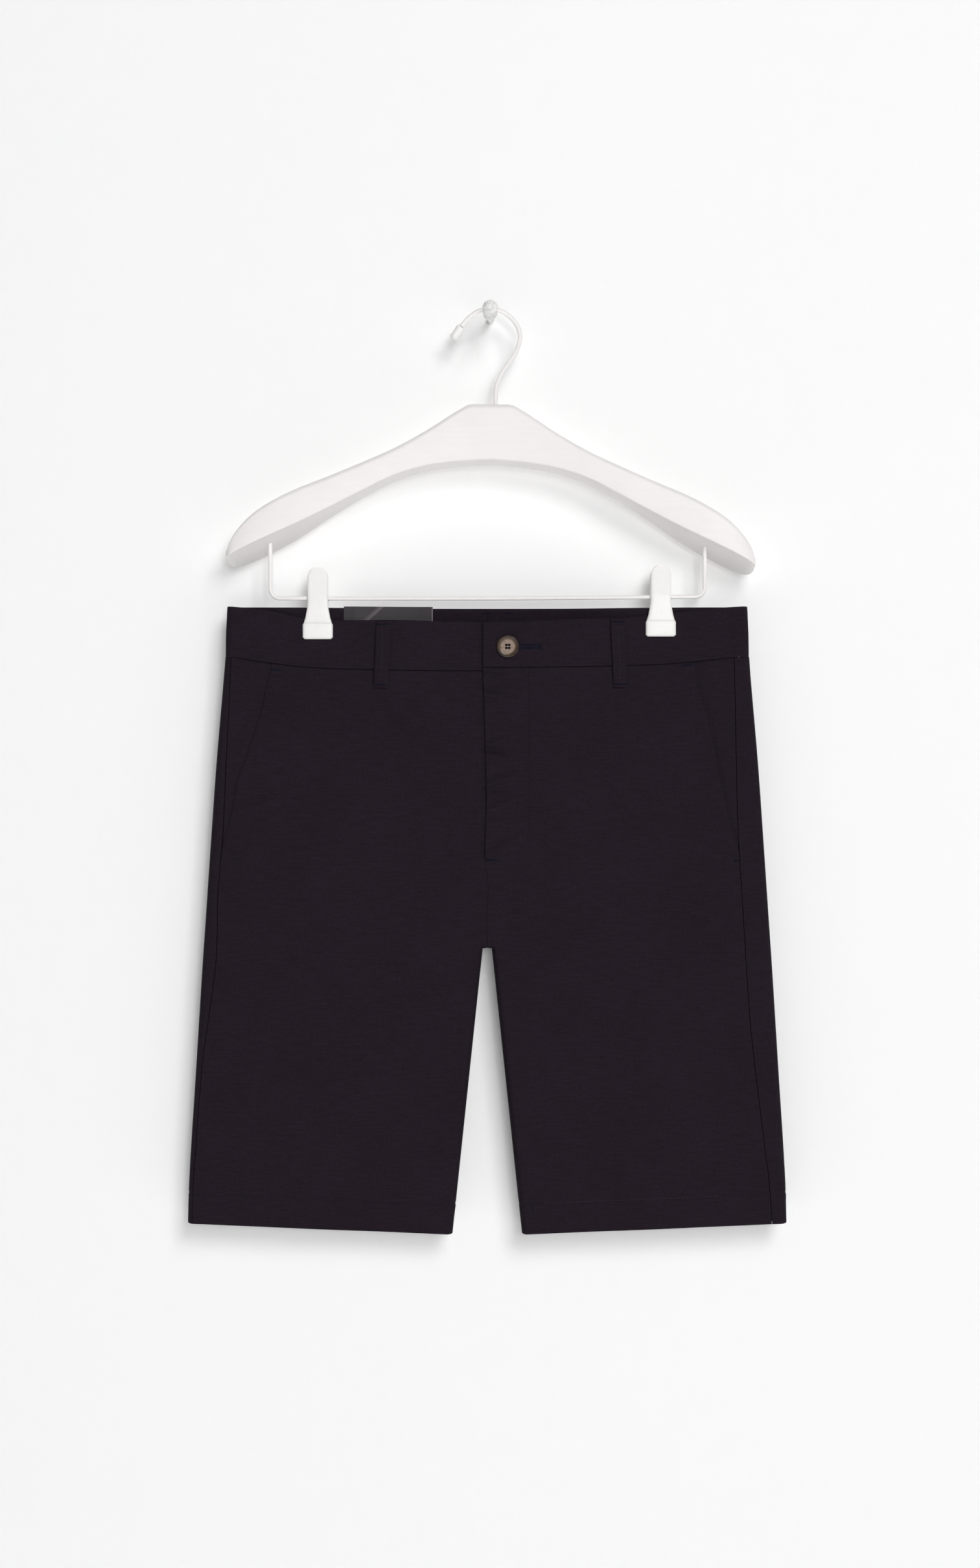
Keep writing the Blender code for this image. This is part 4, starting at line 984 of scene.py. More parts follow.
def stitch_row(x, drop, face, level, stitch, inside=False):
    """Starts, ends and normals of evenly pitched stitches along a line on the cloth.

    "level" is the cloth's own stand-off from the form.
    """
    pitch, length, stand_off = stitch
    x, drop, out = np.broadcast_arrays(np.asarray(x, float), drop, level + stand_off)
    steps = np.linalg.norm(np.diff(garment_point(x, drop, face, out), axis=0), axis=-1)
    distance = np.concatenate([[0.0], np.cumsum(steps)])
    heads = np.arange(pitch / 2, distance[-1] - length, pitch)
    ends = []
    for places in (heads, heads + length):
        at = [np.interp(places, distance, values) for values in (x, drop, out)]
        ends.append(garment_point(at[0], at[1], face, at[2]))
    normals = outward(at[0], at[1], face, at[2]) * (-1 if inside else 1)
    return ends[0], ends[1], normals


def bar_tack(x, drop, face, out, degrees, length, width, inside=False):
    """Starts, ends and normals of a dense zigzag: threads side by side across a short bar."""
    turn = math.radians(degrees)
    count = max(round(length / TACK_SPACING), 3)
    place = np.linspace(-0.5, 0.5, count) * length
    lean = np.where(np.arange(count) % 2, 1, -1) * TACK_LEAN
    ends = []
    for side in (-0.5, 0.5):
        along = place + lean * np.sign(side)
        at_x = x + along * math.cos(turn) + side * width * math.sin(turn)
        at_drop = drop - along * math.sin(turn) + side * width * math.cos(turn)
        ends.append(garment_point(at_x, at_drop, face, out))
    normals = outward(at_x, at_drop, face, out) * (-1 if inside else 1)
    return ends[0], ends[1], normals


def sew(name, rows, finish, radius=0.00021, bow=0.00012):
    """One piece of thread from many rows of (starts, ends, normals)."""
    starts, ends, normals = (np.concatenate(column) for column in zip(*rows))
    points, quads, triangles = thread_points(starts, ends, normals, radius, bow)
    piece = make_piece(name, points, quads, finish_of(finish), triangles)


def hem_rows(side, face):
    """The hem's tonal stitches on one face of a leg, from the inner edge to the outer one."""
    foot = HEM_INSIDE_DROP - HEM_DEPTH
    outer = float(half_width(foot)) - SIDE_FOLD
    if face == FRONT:
        outer = float(seam_reach(side, foot)) - 0.001
    x = side * np.linspace(float(inner_edge(foot)) + INNER_FOLD, outer, 300)
    return stitch_row(x, hem_drop(x) - HEM_DEPTH, face, 0.0, HEM_STITCH)


def loop_rows(name):
    """A belt loop's middle stitches and its two bar tacks."""
    face, top_x, foot_x, top, foot = BELT_LOOPS[name]
    share = np.linspace(0.10, 0.90, 60)
    x = top_x + (foot_x - top_x) * share
    drop = top + (foot - top) * share
    stitches = stitch_row(x, drop, face, loop_surface(top_x, share), LOOP_STITCH)
    tacks = []
    for share in (0.045, 0.955):
        stand = float(curve(LOOP_STAND_OFF, share)) + LOOP_THICKNESS + 0.00005
        at = (top_x + (foot_x - top_x) * share, top + (foot - top) * share)
        tacks.append(bar_tack(*at, face, stand, 0, 0.0108, 0.0013))
    return stitches, tacks


def make_stitches():
    """Rows of thread on the panels, waistband and belt loops, and their bar tacks.

    The left front's hem shows its thread pale between two tonal ends. The front waist seam's
    rows are sewn in dark thread, a painted shade standing for the shadows in their stitch holes.
    """
    light, tonal, dark, tacks = [], [], [], []
    x = np.linspace(*PALE_HEM_RUN, 300)
    light.append(stitch_row(x, hem_drop(x) - HEM_DEPTH, FRONT, 0.0, PALE_HEM_STITCH))
    for side, face in ((RIGHT, FRONT), (RIGHT, BACK), (LEFT, BACK)):
        tonal.append(hem_rows(side, face))
    for run in LEFT_HEM_ENDS:
        x = np.linspace(*run, 60)
        tonal.append(stitch_row(x, hem_drop(x) - HEM_DEPTH, FRONT, 0.0, HEM_STITCH))
    j_x, j_drop = fly_stitch_line(300).T
    tonal.append(stitch_row(j_x, j_drop, FRONT, 0.0, FLY_STITCH))
    # The front waist seam's rows are sewn in dark thread as painted shade for their stitch holes.
    for side, start, stop in WAIST_HOLE_SHADE_RUNS:
        x = np.linspace(start, stop, 200)
        drop = seam_drop(x, FRONT, side) + 0.0009
        dark.append(stitch_row(x, drop, FRONT, 0.0, WAIST_STITCH))
    x = np.linspace(*TOP_RUN, 500)
    drop = top_drop(x, BACK) + 0.0016
    light.append(stitch_row(x, drop, BACK, -BAND_IN, INSIDE_STITCH, inside=True))
    tonal.append(stitch_row(x, drop, BACK, BAND_OUT, TOP_STITCH))
    tonal.append(stitch_row(x, BACK_SEAM_DROP + 0.0011, BACK, 0.0, BACK_WAIST_STITCH))
    drop = np.linspace(BACK_SEAM_DROP + 0.003, CROTCH_DROP - 0.006, 300)
    tonal.append(stitch_row(BACK_SEAM_X, drop, BACK, 0.0, BACK_SEAM_STITCH))
    for name in BELT_LOOPS:
        stitches, ends = loop_rows(name)
        light.append(stitches)
        tacks += ends
    tacks += [bar_tack(*row) for row in OUTSIDE_TACKS]
    tacks += [bar_tack(*row, inside=True) for row in INSIDE_TACKS]
    sew("stitches_light", light, "light_thread")
    sew("stitches_tonal", tonal, "tonal_thread")
    # Painted shade: dark thread that stands for the shadows in the waist seam's stitch holes.
    sew("stitches_painted_hole_shade", dark, "blue_thread")
    sew("bar_tacks", tacks, "blue_thread", 0.00019, 0.00016)


def make_buttonhole():
    """A round-ended hole: two lips of close stitches, an eye past the button and a bar."""
    drop = WAIST_Z - middle_of("waist_button", 2)
    start, stop = BUTTONHOLE
    rows = []
    for lip in (-1, 1):
        at = ((start + stop) / 2, drop + lip * BUTTONHOLE_LIP)
        rows.append(bar_tack(*at, FRONT, BAND_OUT, 0, stop - start, 0.0019))
    for degrees in range(-120, 150, 30):
        turn = math.radians(degrees)
        x = stop + 0.0004 + BUTTONHOLE_EYE * math.cos(turn)
        at = (x, drop - BUTTONHOLE_EYE * math.sin(turn))
        rows.append(bar_tack(*at, FRONT, BAND_OUT, degrees - 90, 0.0012, 0.0014))
    rows.append(bar_tack(stop + 0.0030, drop, FRONT, BAND_OUT + 0.0001, 90, 0.0040, 0.0012))
    sew("buttonhole", rows, "blue_thread", 0.00019, 0.00014)


def make_button_thread():
    """Two level strands, of three threads each, from hole to hole of the button."""
    x = middle_of("waist_button", 0)
    z = middle_of("waist_button", 2)
    face_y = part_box("waist_button")[0][1] + BUTTON_DISH
    reach = BUTTON_HOLES_OUT
    starts, ends = [], []
    for lift in (-1, 1):
        for nudge in (-0.0003, 0.0, 0.0003):
            starts.append((x - reach, face_y, z + lift * reach + nudge))
            ends.append((x + reach, face_y, z + lift * reach + nudge))
    normals = np.tile([0.0, -1.0, 0.0], (len(starts), 1))
    points, quads, triangles = thread_points(
        np.array(starts), np.array(ends), normals, 0.00020, 0.00025
    )
    piece = make_piece("button_thread", points, quads, finish_of("tonal_thread"), triangles)


# ---------------------------------------------------------------- the zip's coil
COIL_PITCH = 0.0012
COIL_FROM_EDGE = 0.0100
COIL_HALF_WIDTH = 0.0019
COIL_UNEVEN = 0.0004
COIL_RADIUS = 0.00045
COIL_BOW = 0.0004


def make_zip_coil():
    """Coil of the closed zip: short bars side by side down the chain's middle."""
    low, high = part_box("zip_chain")
    count = int((high[2] - low[2]) / COIL_PITCH)
    z = np.linspace(low[2] + COIL_PITCH / 2, high[2] - COIL_PITCH / 2, count)
    y = middle_of("zip_chain", 1)
    middle = CENTRE_X + fly_x(WAIST_Z - z) + COIL_FROM_EDGE
    uneven = np.where(np.arange(count) % 2, 1, -1) * COIL_UNEVEN
    at = np.stack([middle, 0 * z + y, z], axis=-1)
    out = np.stack([COIL_HALF_WIDTH + uneven, 0 * z, 0 * z], axis=-1)
    normals = np.tile([0.0, -1.0, 0.0], (count, 1))
    points, quads, triangles = thread_points(at - out, at + out, normals, COIL_RADIUS, COIL_BOW)
    piece = make_piece("zip_coil", points, quads, finish_of("zip"), triangles)
    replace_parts(piece, "zip_chain")


# ---------------------------------------------------------------- the hanger
# (distance from the hanger's middle, top, front lower edge, back lower edge, half thickness)
HANGER_ARM = [
    (0.0000, -0.0765, -0.1231, -0.1254, 0.0110), (0.0176, -0.0765, -0.1242, -0.1264, 0.0110),
    (0.0190, -0.0770, -0.1243, -0.1265, 0.0110), (0.0330, -0.0854, -0.1256, -0.1279, 0.0115),
    (0.0540, -0.0992, -0.1292, -0.1314, 0.0125), (0.0810, -0.1146, -0.1377, -0.1399, 0.0140),
    (0.1080, -0.1271, -0.1513, -0.1540, 0.0155), (0.1360, -0.1393, -0.1661, -0.1715, 0.0170),
    (0.1630, -0.1504, -0.1797, -0.1895, 0.0180), (0.1850, -0.1618, -0.1898, -0.2016, 0.0185),
    (0.2000, -0.1723, -0.1969, -0.2090, 0.0180), (0.2110, -0.1838, -0.2024, -0.2132, 0.0165),
    (0.2175, -0.1935, -0.2060, -0.2136, 0.0140), (0.2203, -0.2015, -0.2075, -0.2116, 0.0100),
]
HANGER_X = 0.0006
HANGER_TILT = 0.0148
HANGER_ROUND = 0.0045
HANGER_END = 0.0012
# (x, z) that the hook's wire passes through, from the hanger up over the peg to its end
HOOK_PATH = [
    (0.0046, -0.0762), (0.0049, -0.0630), (0.0076, -0.0532), (0.0136, -0.0434),
    (0.0201, -0.0342), (0.0239, -0.0255), (0.0250, -0.0172), (0.0224, -0.0090),
    (0.0168, -0.0023), (0.0092, 0.0026), (0.0000, 0.0044), (-0.0080, 0.0032),
    (-0.0141, -0.0002), (-0.0192, -0.0044), (-0.0242, -0.0101),
]
HOOK_RADIUS = 0.0020
TIP_START = (-0.0246, -0.0107)
TIP_END = (-0.0307, -0.0196)
TIP_RADIUS = 0.0038
BAR_RADIUS = 0.00175
BAR_CORNER = 0.0080
BAR_LEG_X = {RIGHT: -0.1839, LEFT: 0.1796}
BAR_Z = {RIGHT: -0.2379, LEFT: -0.2366}
CLIP_LIFT = {RIGHT: 0.0, LEFT: 0.0022}
CLIP_JAW_Z = -0.2723
# (height above the jaw's lower edge, number of rows of points up to there)
CLIP_ROWS = [(0.0014, 5), (0.0134, 25), (0.0573, 59), (0.0593, 6)]
# (height of its middle, its width, how far it stands out or dips in)
CLIP_RIB = (0.0127, 0.0007, 0.00035)
CLIP_GRIP = (0.0345, 0.0022, 0.00030)
# (height above the jaw's lower edge, half width, stand-off of the inner face, thickness)
CLIP_PROFILE = [
    (0.0000, 0.0110, 0.0034, 0.0020), (0.0014, 0.0126, 0.0032, 0.0032),
    (0.0120, 0.0126, 0.0032, 0.0034), (0.0134, 0.0118, 0.0032, 0.0030),
    (0.0180, 0.0104, 0.0032, 0.0028), (0.0275, 0.0086, 0.0032, 0.0028),
    (0.0345, 0.0086, 0.0021, 0.0038), (0.0430, 0.0086, 0.0040, 0.0030),
    (0.0530, 0.0084, 0.0064, 0.0026), (0.0573, 0.0066, 0.0074, 0.0024),
    (0.0593, 0.0036, 0.0080, 0.0020),
]
# (distance from the wall, radius)
PEG_PROFILE = [
    (0.0000, 0.0036), (0.0020, 0.0036), (0.0022, 0.0020), (0.0345, 0.0020), (0.0346, 0.0054),
    (0.0354, 0.0060), (0.0480, 0.0062), (0.0490, 0.0057), (0.0502, 0.0057), (0.0514, 0.0064),
    (0.0560, 0.0067), (0.0600, 0.0061), (0.0624, 0.0046), (0.0638, 0.0024),
]
PEG_STEM_ROWS = 5
PEG_TIP = (0.0641, 0.0008)


def corner_arc(centre_y, centre_z, radius, start, stop, count):
    """Points of a round corner on many sections at once."""
    angle = np.radians(np.linspace(start, stop, count))
    y = centre_y[:, None] + radius[:, None] * np.cos(angle)
    z = centre_z[:, None] + radius[:, None] * np.sin(angle)
    return np.stack([y, z], axis=-1)


def make_hanger_body():
    """Arched wooden bar: a rounded section carried along both arms and closed round at the ends.

    The section is a box with quarter-circle corners, whose underside slopes down to the wall.
    At an end the sections shrink as a quarter circle.
    """
    reach = HANGER_ARM[-1][0]
    stations = reach * np.sin(np.linspace(-1, 1, 181) * math.pi / 2)
    turn = np.linspace(0, math.pi / 2, 8)[1:-1]
    end = HANGER_END * np.sin(turn)
    stations = np.concatenate([-(reach + end[::-1]), stations, reach + end])
    shrink = np.ones(len(stations))
    shrink[: len(turn)] = np.cos(turn[::-1])
    shrink[-len(turn):] = np.cos(turn)
    away = np.minimum(np.abs(stations), reach)
    top, front_low, back_low, half = (curve(HANGER_ARM, away, column) for column in (1, 2, 3, 4))
    corner = np.minimum.reduce([np.full(len(half), HANGER_ROUND), half * 0.8, (top - front_low) * 0.4])
    lower = corner * 0.35
    section = np.concatenate(
        [
            corner_arc(-half + corner, top - corner, corner, 180, 90, 9),
            corner_arc(half - corner, top - corner, corner, 90, 0, 9),
            corner_arc(half - lower, back_low + lower, lower, 0, -80, 6),
            corner_arc(-half + lower, front_low + lower, lower, -100, -180, 6),
        ],
        axis=1,
    )
    middle = section.mean(axis=1, keepdims=True)
    section = middle + (section - middle) * shrink[:, None, None]
    x = np.broadcast_to((HANGER_X + stations)[:, None], section.shape[:2])
    points = np.stack([x, MID_Y + section[..., 0], section[..., 1] - HANGER_TILT * x], axis=-1)
    quads, caps = tube_faces(*x.shape)
    tips = np.stack([points[0].mean(axis=0), points[-1].mean(axis=0)])
    points = np.concatenate([points.reshape(-1, 3), tips])
    piece = make_piece("hanger_arms", points, quads, finish_of("wood"), caps, sharp=40)
    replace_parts(piece, "hanger_body")


def tube(name, path, radius, finish, sides=20):
    """Round wire along a path in the plane of the hanger: a circle carried along it."""
    along = np.gradient(path, axis=0)
    along /= np.linalg.norm(along, axis=1, keepdims=True)
    depth = np.array([0.0, 1.0, 0.0])
    across = np.cross(along, depth)
    angle = np.linspace(0, 2 * math.pi, sides, endpoint=False)
    radius = np.broadcast_to(radius, len(path))[:, None, None]
    ring = across[:, None] * np.cos(angle)[:, None] + depth * np.sin(angle)[:, None]
    points = path[:, None] + ring * radius
    quads, caps = tube_faces(len(path), sides)
    points = np.concatenate([points.reshape(-1, 3), path[[0, -1]]])
    piece = make_piece(name, points, quads, finish_of(finish), caps, sharp=60)
    return piece


def in_plane(points):
    """(x, z) points as places on the hanger's middle plane."""
    points = np.asarray(points, float)
    return np.stack([points[:, 0], np.full(len(points), MID_Y), points[:, 1]], axis=-1)


def make_hook():
    """Wire hook on a smooth curve through its points, and the sleeve on its tip."""
    path = np.array(HOOK_PATH)
    steps = np.concatenate([[0.0], np.cumsum(np.linalg.norm(np.diff(path, axis=0), axis=1))])
    rows = np.column_stack([steps, path])
    places = np.linspace(0, steps[-1], 160)
    line = in_plane(np.stack([curve(rows, places, 1), curve(rows, places, 2)], axis=-1))
    foot = in_plane([(HOOK_PATH[0][0], HOOK_PATH[0][1] - 0.004)])
    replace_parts(tube("hook_wire", np.concatenate([foot, line]), HOOK_RADIUS, "wire"), "hanger_hook")
    start, end = np.array(TIP_START), np.array(TIP_END)
    length = np.linalg.norm(end - start)
    turn = np.linspace(0, math.pi / 2, 12)
    body = length - 0.0012
    straight = np.linspace(0.001, body, 12)[1:]
    round_end = body + 0.0030 * np.sin(turn)[1:]
    reach = np.concatenate([[0.0], 0.0007 * np.sin(turn), straight, round_end])
    mouth_radius = 0.0029 + 0.0009 * (1 - np.cos(turn))
    end_radius = TIP_RADIUS * np.maximum(np.cos(turn)[1:], 0.03)
    straight_radius = np.full(len(straight), TIP_RADIUS)
    radius = np.concatenate([[0.0021], mouth_radius, straight_radius, end_radius])
    places = start + (end - start) * (reach / length)[:, None]
    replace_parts(tube("hook_sleeve", in_plane(places), radius, "plastic", 28), "hook_tip")


def hanger_underside(reach, sideways):
    """Height of the hanger's underside above a point under its middle plane."""
    low = (curve(HANGER_ARM, reach, 2) + curve(HANGER_ARM, reach, 3)) / 2
    return float(low - HANGER_TILT * sideways)


def make_clip_bar():
    """Wire bar: two legs let into the hanger and a level run between round corners."""
    halves = []
    for side in (RIGHT, LEFT):
        x = BAR_LEG_X[side]
        low = BAR_Z[side]
        top = hanger_underside(abs(x - HANGER_X), x) + 0.003
        z = np.linspace(top, low + BAR_CORNER, 12)[:-1]
        leg = np.stack([np.full(len(z), x), z], axis=-1)
        turn = np.linspace(0, math.pi / 2, 12)
        inward = x - side * BAR_CORNER * (1 - np.cos(turn))
        corner = np.stack([inward, low + BAR_CORNER * (1 - np.sin(turn))], axis=-1)
        halves.append(np.concatenate([leg, corner]))
    right, left = halves
    share = np.linspace(0, 1, 62)[1:-1, None]
    run = right[-1] + (left[-1] - right[-1]) * share
    run[:, 1] -= 0.0007 * np.sin(math.pi * share[:, 0])
    path = in_plane(np.concatenate([right, run, left[::-1]]))
    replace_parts(tube("trouser_bar", path, BAR_RADIUS, "wire"), "clip_bar")


def make_clips():
    """Two moulded jaws each side of the waistband, closing under the bar.

    A jaw is a wall over height and width. Its outer face bulges from edge to edge as the cube
    root of an eighth-power curve, with a raised rib low down and a dip where a finger presses,
    and its width draws in towards the top.
    """
    height = np.zeros(1)
    for top, count in CLIP_ROWS:
        height = np.append(height, np.linspace(height[-1], top, count + 1)[1:])
    across = np.sin(np.linspace(-1, 1, 41) * math.pi / 2)
    half = np.interp(height, *np.array(CLIP_PROFILE)[:, :2].T)
    stand = curve(CLIP_PROFILE, height, 2)
    thickness = curve(CLIP_PROFILE, height, 3)
    rib, grip = (
        depth * np.exp(-(((height - place) / width) ** 2))
        for place, width, depth in (CLIP_RIB, CLIP_GRIP)
    )
    crown = 0.25 + 0.75 * (1 - np.abs(across) ** 8) ** (1 / 3)
    for side, word in SIDES:
        for face, part in ((FRONT, "front"), (BACK, "back")):
            z = CLIP_JAW_Z + CLIP_LIFT[side] + height
            x = CENTRE_X + CLIP_X[side] + half[:, None] * across
            deep = stand[:, None] + (thickness + rib - grip)[:, None] * crown
            level = z[:, None] + 0 * x
            inner_y = MID_Y + face * (stand[:, None] + 0 * x)
            outer = np.stack([x, MID_Y + face * deep, level], axis=-1)
            inner = np.stack([x, inner_y, level], axis=-1)
            points = np.concatenate([outer.reshape(-1, 3), inner.reshape(-1, 3)])
            name = f"clip_{word}_{part}"
            quads = wall_quads(*x.shape)
            piece = make_piece(f"{name}_jaw", points, quads, finish_of("plastic"), sharp=35)
            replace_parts(piece, name)


def make_peg():
    """Turned peg: its profile's radius carried round the axis that stands out of the wall."""
    table = np.array(PEG_PROFILE)
    stem = table[:PEG_STEM_ROWS]
    knob = np.linspace(table[PEG_STEM_ROWS, 0], table[-1, 0], 60)
    distance = np.concatenate([stem[:, 0], knob, PEG_TIP[:1]])
    radius = np.concatenate([stem[:, 1], curve(PEG_PROFILE, knob), PEG_TIP[1:]])
    angle = np.linspace(0, 2 * math.pi, 48, endpoint=False)
    ring = np.stack([np.cos(angle), 0 * angle, np.sin(angle)], axis=-1)
    points = ring * radius[:, None, None]
    points[..., 1] -= distance[:, None]
    quads, caps = tube_faces(len(distance), len(angle))
    ends = np.array([[0.0, -distance[0], 0.0], [0.0, -distance[-1], 0.0]])
    points = np.concatenate([points.reshape(-1, 3), ends])
    piece = make_piece("peg_turned", points, quads, finish_of("peg"), caps, sharp=45)
    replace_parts(piece, "wall_peg")


# ---------------------------------------------------------------- finishes as expressions
class Value:
    """A socket in a material's nodes; arithmetic on it adds the nodes that work it out."""

    def __init__(self, tree, socket):
        self.tree = tree
        self.socket = socket

    def work(self, operation, *operands):
        node = self.tree.nodes.new("ShaderNodeMath")
        node.operation = operation
        for socket, operand in zip(node.inputs, operands):
            plug(self.tree, socket, operand)
        return Value(self.tree, node.outputs[0])

    def __add__(self, other):
        return self.work("ADD", self, other)

    def __radd__(self, other):
        return self.work("ADD", other, self)

    def __sub__(self, other):
        return self.work("SUBTRACT", self, other)

    def __rsub__(self, other):
        return self.work("SUBTRACT", other, self)

    def __mul__(self, other):
        return self.work("MULTIPLY", self, other)

    def __pow__(self, other):
        return self.work("POWER", self, other)

    def __gt__(self, other):
        return self.work("GREATER_THAN", self, other)

    def __lt__(self, other):
        return self.work("LESS_THAN", self, other)

    def sine(self):
        return self.work("SINE", self)

    def between(self, low, high):
        """0 at low or less, 1 at high or more, smooth between."""
        node = self.tree.nodes.new("ShaderNodeMapRange")
        node.interpolation_type = "SMOOTHSTEP"
        for name, value in (("Value", self), ("From Min", low), ("From Max", high)):
            plug(self.tree, node.inputs[name], value)
        return Value(self.tree, node.outputs[0])


def plug(tree, socket, value):
    """Links a value to a socket, or sets the socket to a plain number, colour or vector."""
    if isinstance(value, Value):
        tree.links.new(value.socket, socket)
    elif hasattr(socket.default_value, "__len__") and len(socket.default_value) == 4:
        socket.default_value = (*tuple(value)[:3], 1.0)
    else:
        socket.default_value = value


class Finish:
    """A material under construction, with its shader's fixed values set at once."""

    def __init__(self, name, **fixed):
        self.material = bpy.data.materials.new(name + "_finish")
        self.material.use_nodes = True
        self.tree = self.material.node_tree
        self.shader = self.tree.nodes["Principled BSDF"]
        for socket, value in fixed.items():
            plug(self.tree, self.shader.inputs[socket.replace("_", " ")], value)

    def add(self, kind, settings=None, inputs=None, output=0):
        """Adds a node: its settings first, then its sockets' values or links."""
        node = self.tree.nodes.new(kind)
        for key, value in (settings or {}).items():
            setattr(node, key, value)
        for socket, value in (inputs or {}).items():
            plug(self.tree, node.inputs[socket], value)
        return Value(self.tree, node.outputs[output])

    def cut_map(self):
        """A point's place on the flat cut, in metres."""
        return self.add("ShaderNodeUVMap", {"uv_map": "cut"})

    def place(self):
        """A point's place in the frame, in metres."""
        return self.add("ShaderNodeTexCoord", output="Object")

    def parts(self, vector):
        split = self.add("ShaderNodeSeparateXYZ", inputs={0: vector}).socket.node
        return [Value(self.tree, socket) for socket in split.outputs]

    def scaled(self, vector, factors):
        return self.add(
            "ShaderNodeVectorMath", {"operation": "MULTIPLY"}, {0: vector, 1: factors}
        )

    def noise(self, vector, scale, detail=2.0, rough=0.5):
        inputs = {"Vector": vector, "Scale": scale, "Detail": detail, "Roughness": rough}
        return self.add("ShaderNodeTexNoise", inputs=inputs)

    def blend(self, share, first, second):
        """Colour between two, by share."""
        return self.add(
            "ShaderNodeMix", {"data_type": "RGBA"}, {0: share, 6: first, 7: second}, output=2
        )

    def bump(self, height, strength, distance):
        inputs = {"Height": height, "Strength": strength, "Distance": distance}
        return self.add("ShaderNodeBump", inputs=inputs)

    def done(self, **sockets):
        for socket, value in sockets.items():
            plug(self.tree, self.shader.inputs[socket.replace("_", " ")], value)
        return self.material


def shade(colour, factor):
    """A colour made lighter or darker by a factor."""
    return tuple(channel * factor for channel in tuple(colour)[:3])


TURN = 2 * math.pi


def cotton_finish():
    """Peached cotton twill: steep diagonal ribs over uneven yarns, with a little lint."""
    cloth = bpy.context.scene.shorts_cloth
    finish = Finish("cotton", IOR=1.08, Sheen_Weight=0.015, Sheen_Roughness=0.5)
    cut = finish.cut_map()
    across, down, _ = finish.parts(cut)
    wander = finish.noise(cut, 160.0, 2.0) * 0.0007
    rib = ((down + across * 0.55 + wander) * (TURN / cloth.rib_pitch)).sine()
    yarn = finish.noise(finish.scaled(cut, (900.0, 2600.0, 1.0)), 1.0, 2.0, 0.6)
    slub = finish.noise(finish.scaled(cut, (60.0, 700.0, 1.0)), 1.0, 2.0)
    cloud = finish.noise(cut, 14.0, 4.0, 0.6)
    nap = finish.noise(cut, 420.0, 3.0, 0.7)
    speck = finish.add(
        "ShaderNodeTexVoronoi", inputs={"Vector": cut, "Scale": 48.0}, output="Distance"
    )
    lint = (speck < 0.013) * (finish.noise(cut, 31.0, 0.0) > 0.56)
    tone = 0.5 + (yarn - 0.5) * 0.9 + (slub - 0.5) * 0.6 + (cloud - 0.5) * 0.35 + (nap - 0.5) * 0.9
    tone = (tone + rib * 0.10).between(0.0, 1.0)
    colour = finish.blend(tone, shade(cloth.colour, 0.74), shade(cloth.colour, 1.30))
    colour = finish.blend(lint * 0.5, colour, (0.060, 0.052, 0.064))
    height = rib * 0.30 + yarn * 0.75 + slub * 0.45 + nap * 0.55
    return finish.done(
        Base_Color=colour,
        Roughness=0.82 + nap * 0.14,
        Normal=finish.bump(height, 0.55, 0.00022),
    )


def plain_weave_finish(name, colour, pitch=0.0006):
    """Plain weave: crossing yarns that rise in turn."""
    finish = Finish(name, Specular_IOR_Level=0.25, Sheen_Weight=0.05)
    across, down, _ = finish.parts(finish.cut_map())
    weave = (across * (TURN / pitch)).sine() * (down * (TURN / pitch)).sine()
    cloud = finish.noise(finish.cut_map(), 260.0, 3.0, 0.6)
    tone = (0.5 + weave * 0.2 + (cloud - 0.5) * 0.9).between(0.0, 1.0)
    return finish.done(
        Base_Color=finish.blend(tone, shade(colour, 0.75), shade(colour, 1.3)),
        Roughness=0.85 + cloud * 0.12,
        Normal=finish.bump(weave * 0.5 + cloud, 0.45, 0.00015),
    )


def satin_finish():
    """Woven satin label: long smooth floats over close ribs, a painted slanting highlight and a pale cut
    end.
    """
    colour = bpy.context.scene.shorts_cloth.label_colour
    finish = Finish("satin", Specular_IOR_Level=0.25, Anisotropic=0.5)
    cut = finish.cut_map()
    across, down, _ = finish.parts(cut)
    rib = (down * (TURN / 0.00045)).sine()
    float_tone = finish.noise(finish.scaled(cut, (70.0, 2200.0, 1.0)), 1.0, 2.0)
    cloud = finish.noise(cut, 60.0, 2.0)
    tone = (0.5 + (float_tone - 0.5) * 0.8 + (cloud - 0.5) * 0.7).between(0.0, 1.0)
    colours = finish.blend(tone, shade(colour, 0.8), shade(colour, 1.25))
    # Painted highlight: a slanting band of the label's colour blended much lighter, standing for light
    # caught on the satin.
    slant = across + down * 1.1
    painted_glint = slant.between(-0.0935, -0.0875) * (1.0 - slant.between(-0.0870, -0.0862))
    colours = finish.blend(painted_glint, colours, shade(colour, 3.4))
    cut_end = across.between(LABEL_SPAN[1] - 0.0010, LABEL_SPAN[1] - 0.0006)
    return finish.done(
        Base_Color=finish.blend(cut_end, colours, shade(colour, 6.0)),
        Roughness=0.42 + float_tone * 0.16,
        Normal=finish.bump(rib * 0.4 + float_tone, 0.30, 0.0001),
    )


def thread_finish(name, colour):
    """Spun thread: fine fibres and a slow change of tone."""
    finish = Finish(name, Specular_IOR_Level=0.08)
    place = finish.place()
    fibre = finish.noise(finish.scaled(place, (2600.0, 2600.0, 2600.0)), 1.0, 2.0, 0.6)
    cloud = finish.noise(place, 190.0, 2.0)
    tone = (0.5 + (fibre - 0.5) * 0.9 + (cloud - 0.5) * 1.1).between(0.0, 1.0)
    return finish.done(
        Base_Color=finish.blend(tone, shade(colour, 0.7), shade(colour, 1.3)),
        Roughness=0.60 + fibre * 0.25,
        Normal=finish.bump(fibre, 0.5, 0.0001),
    )


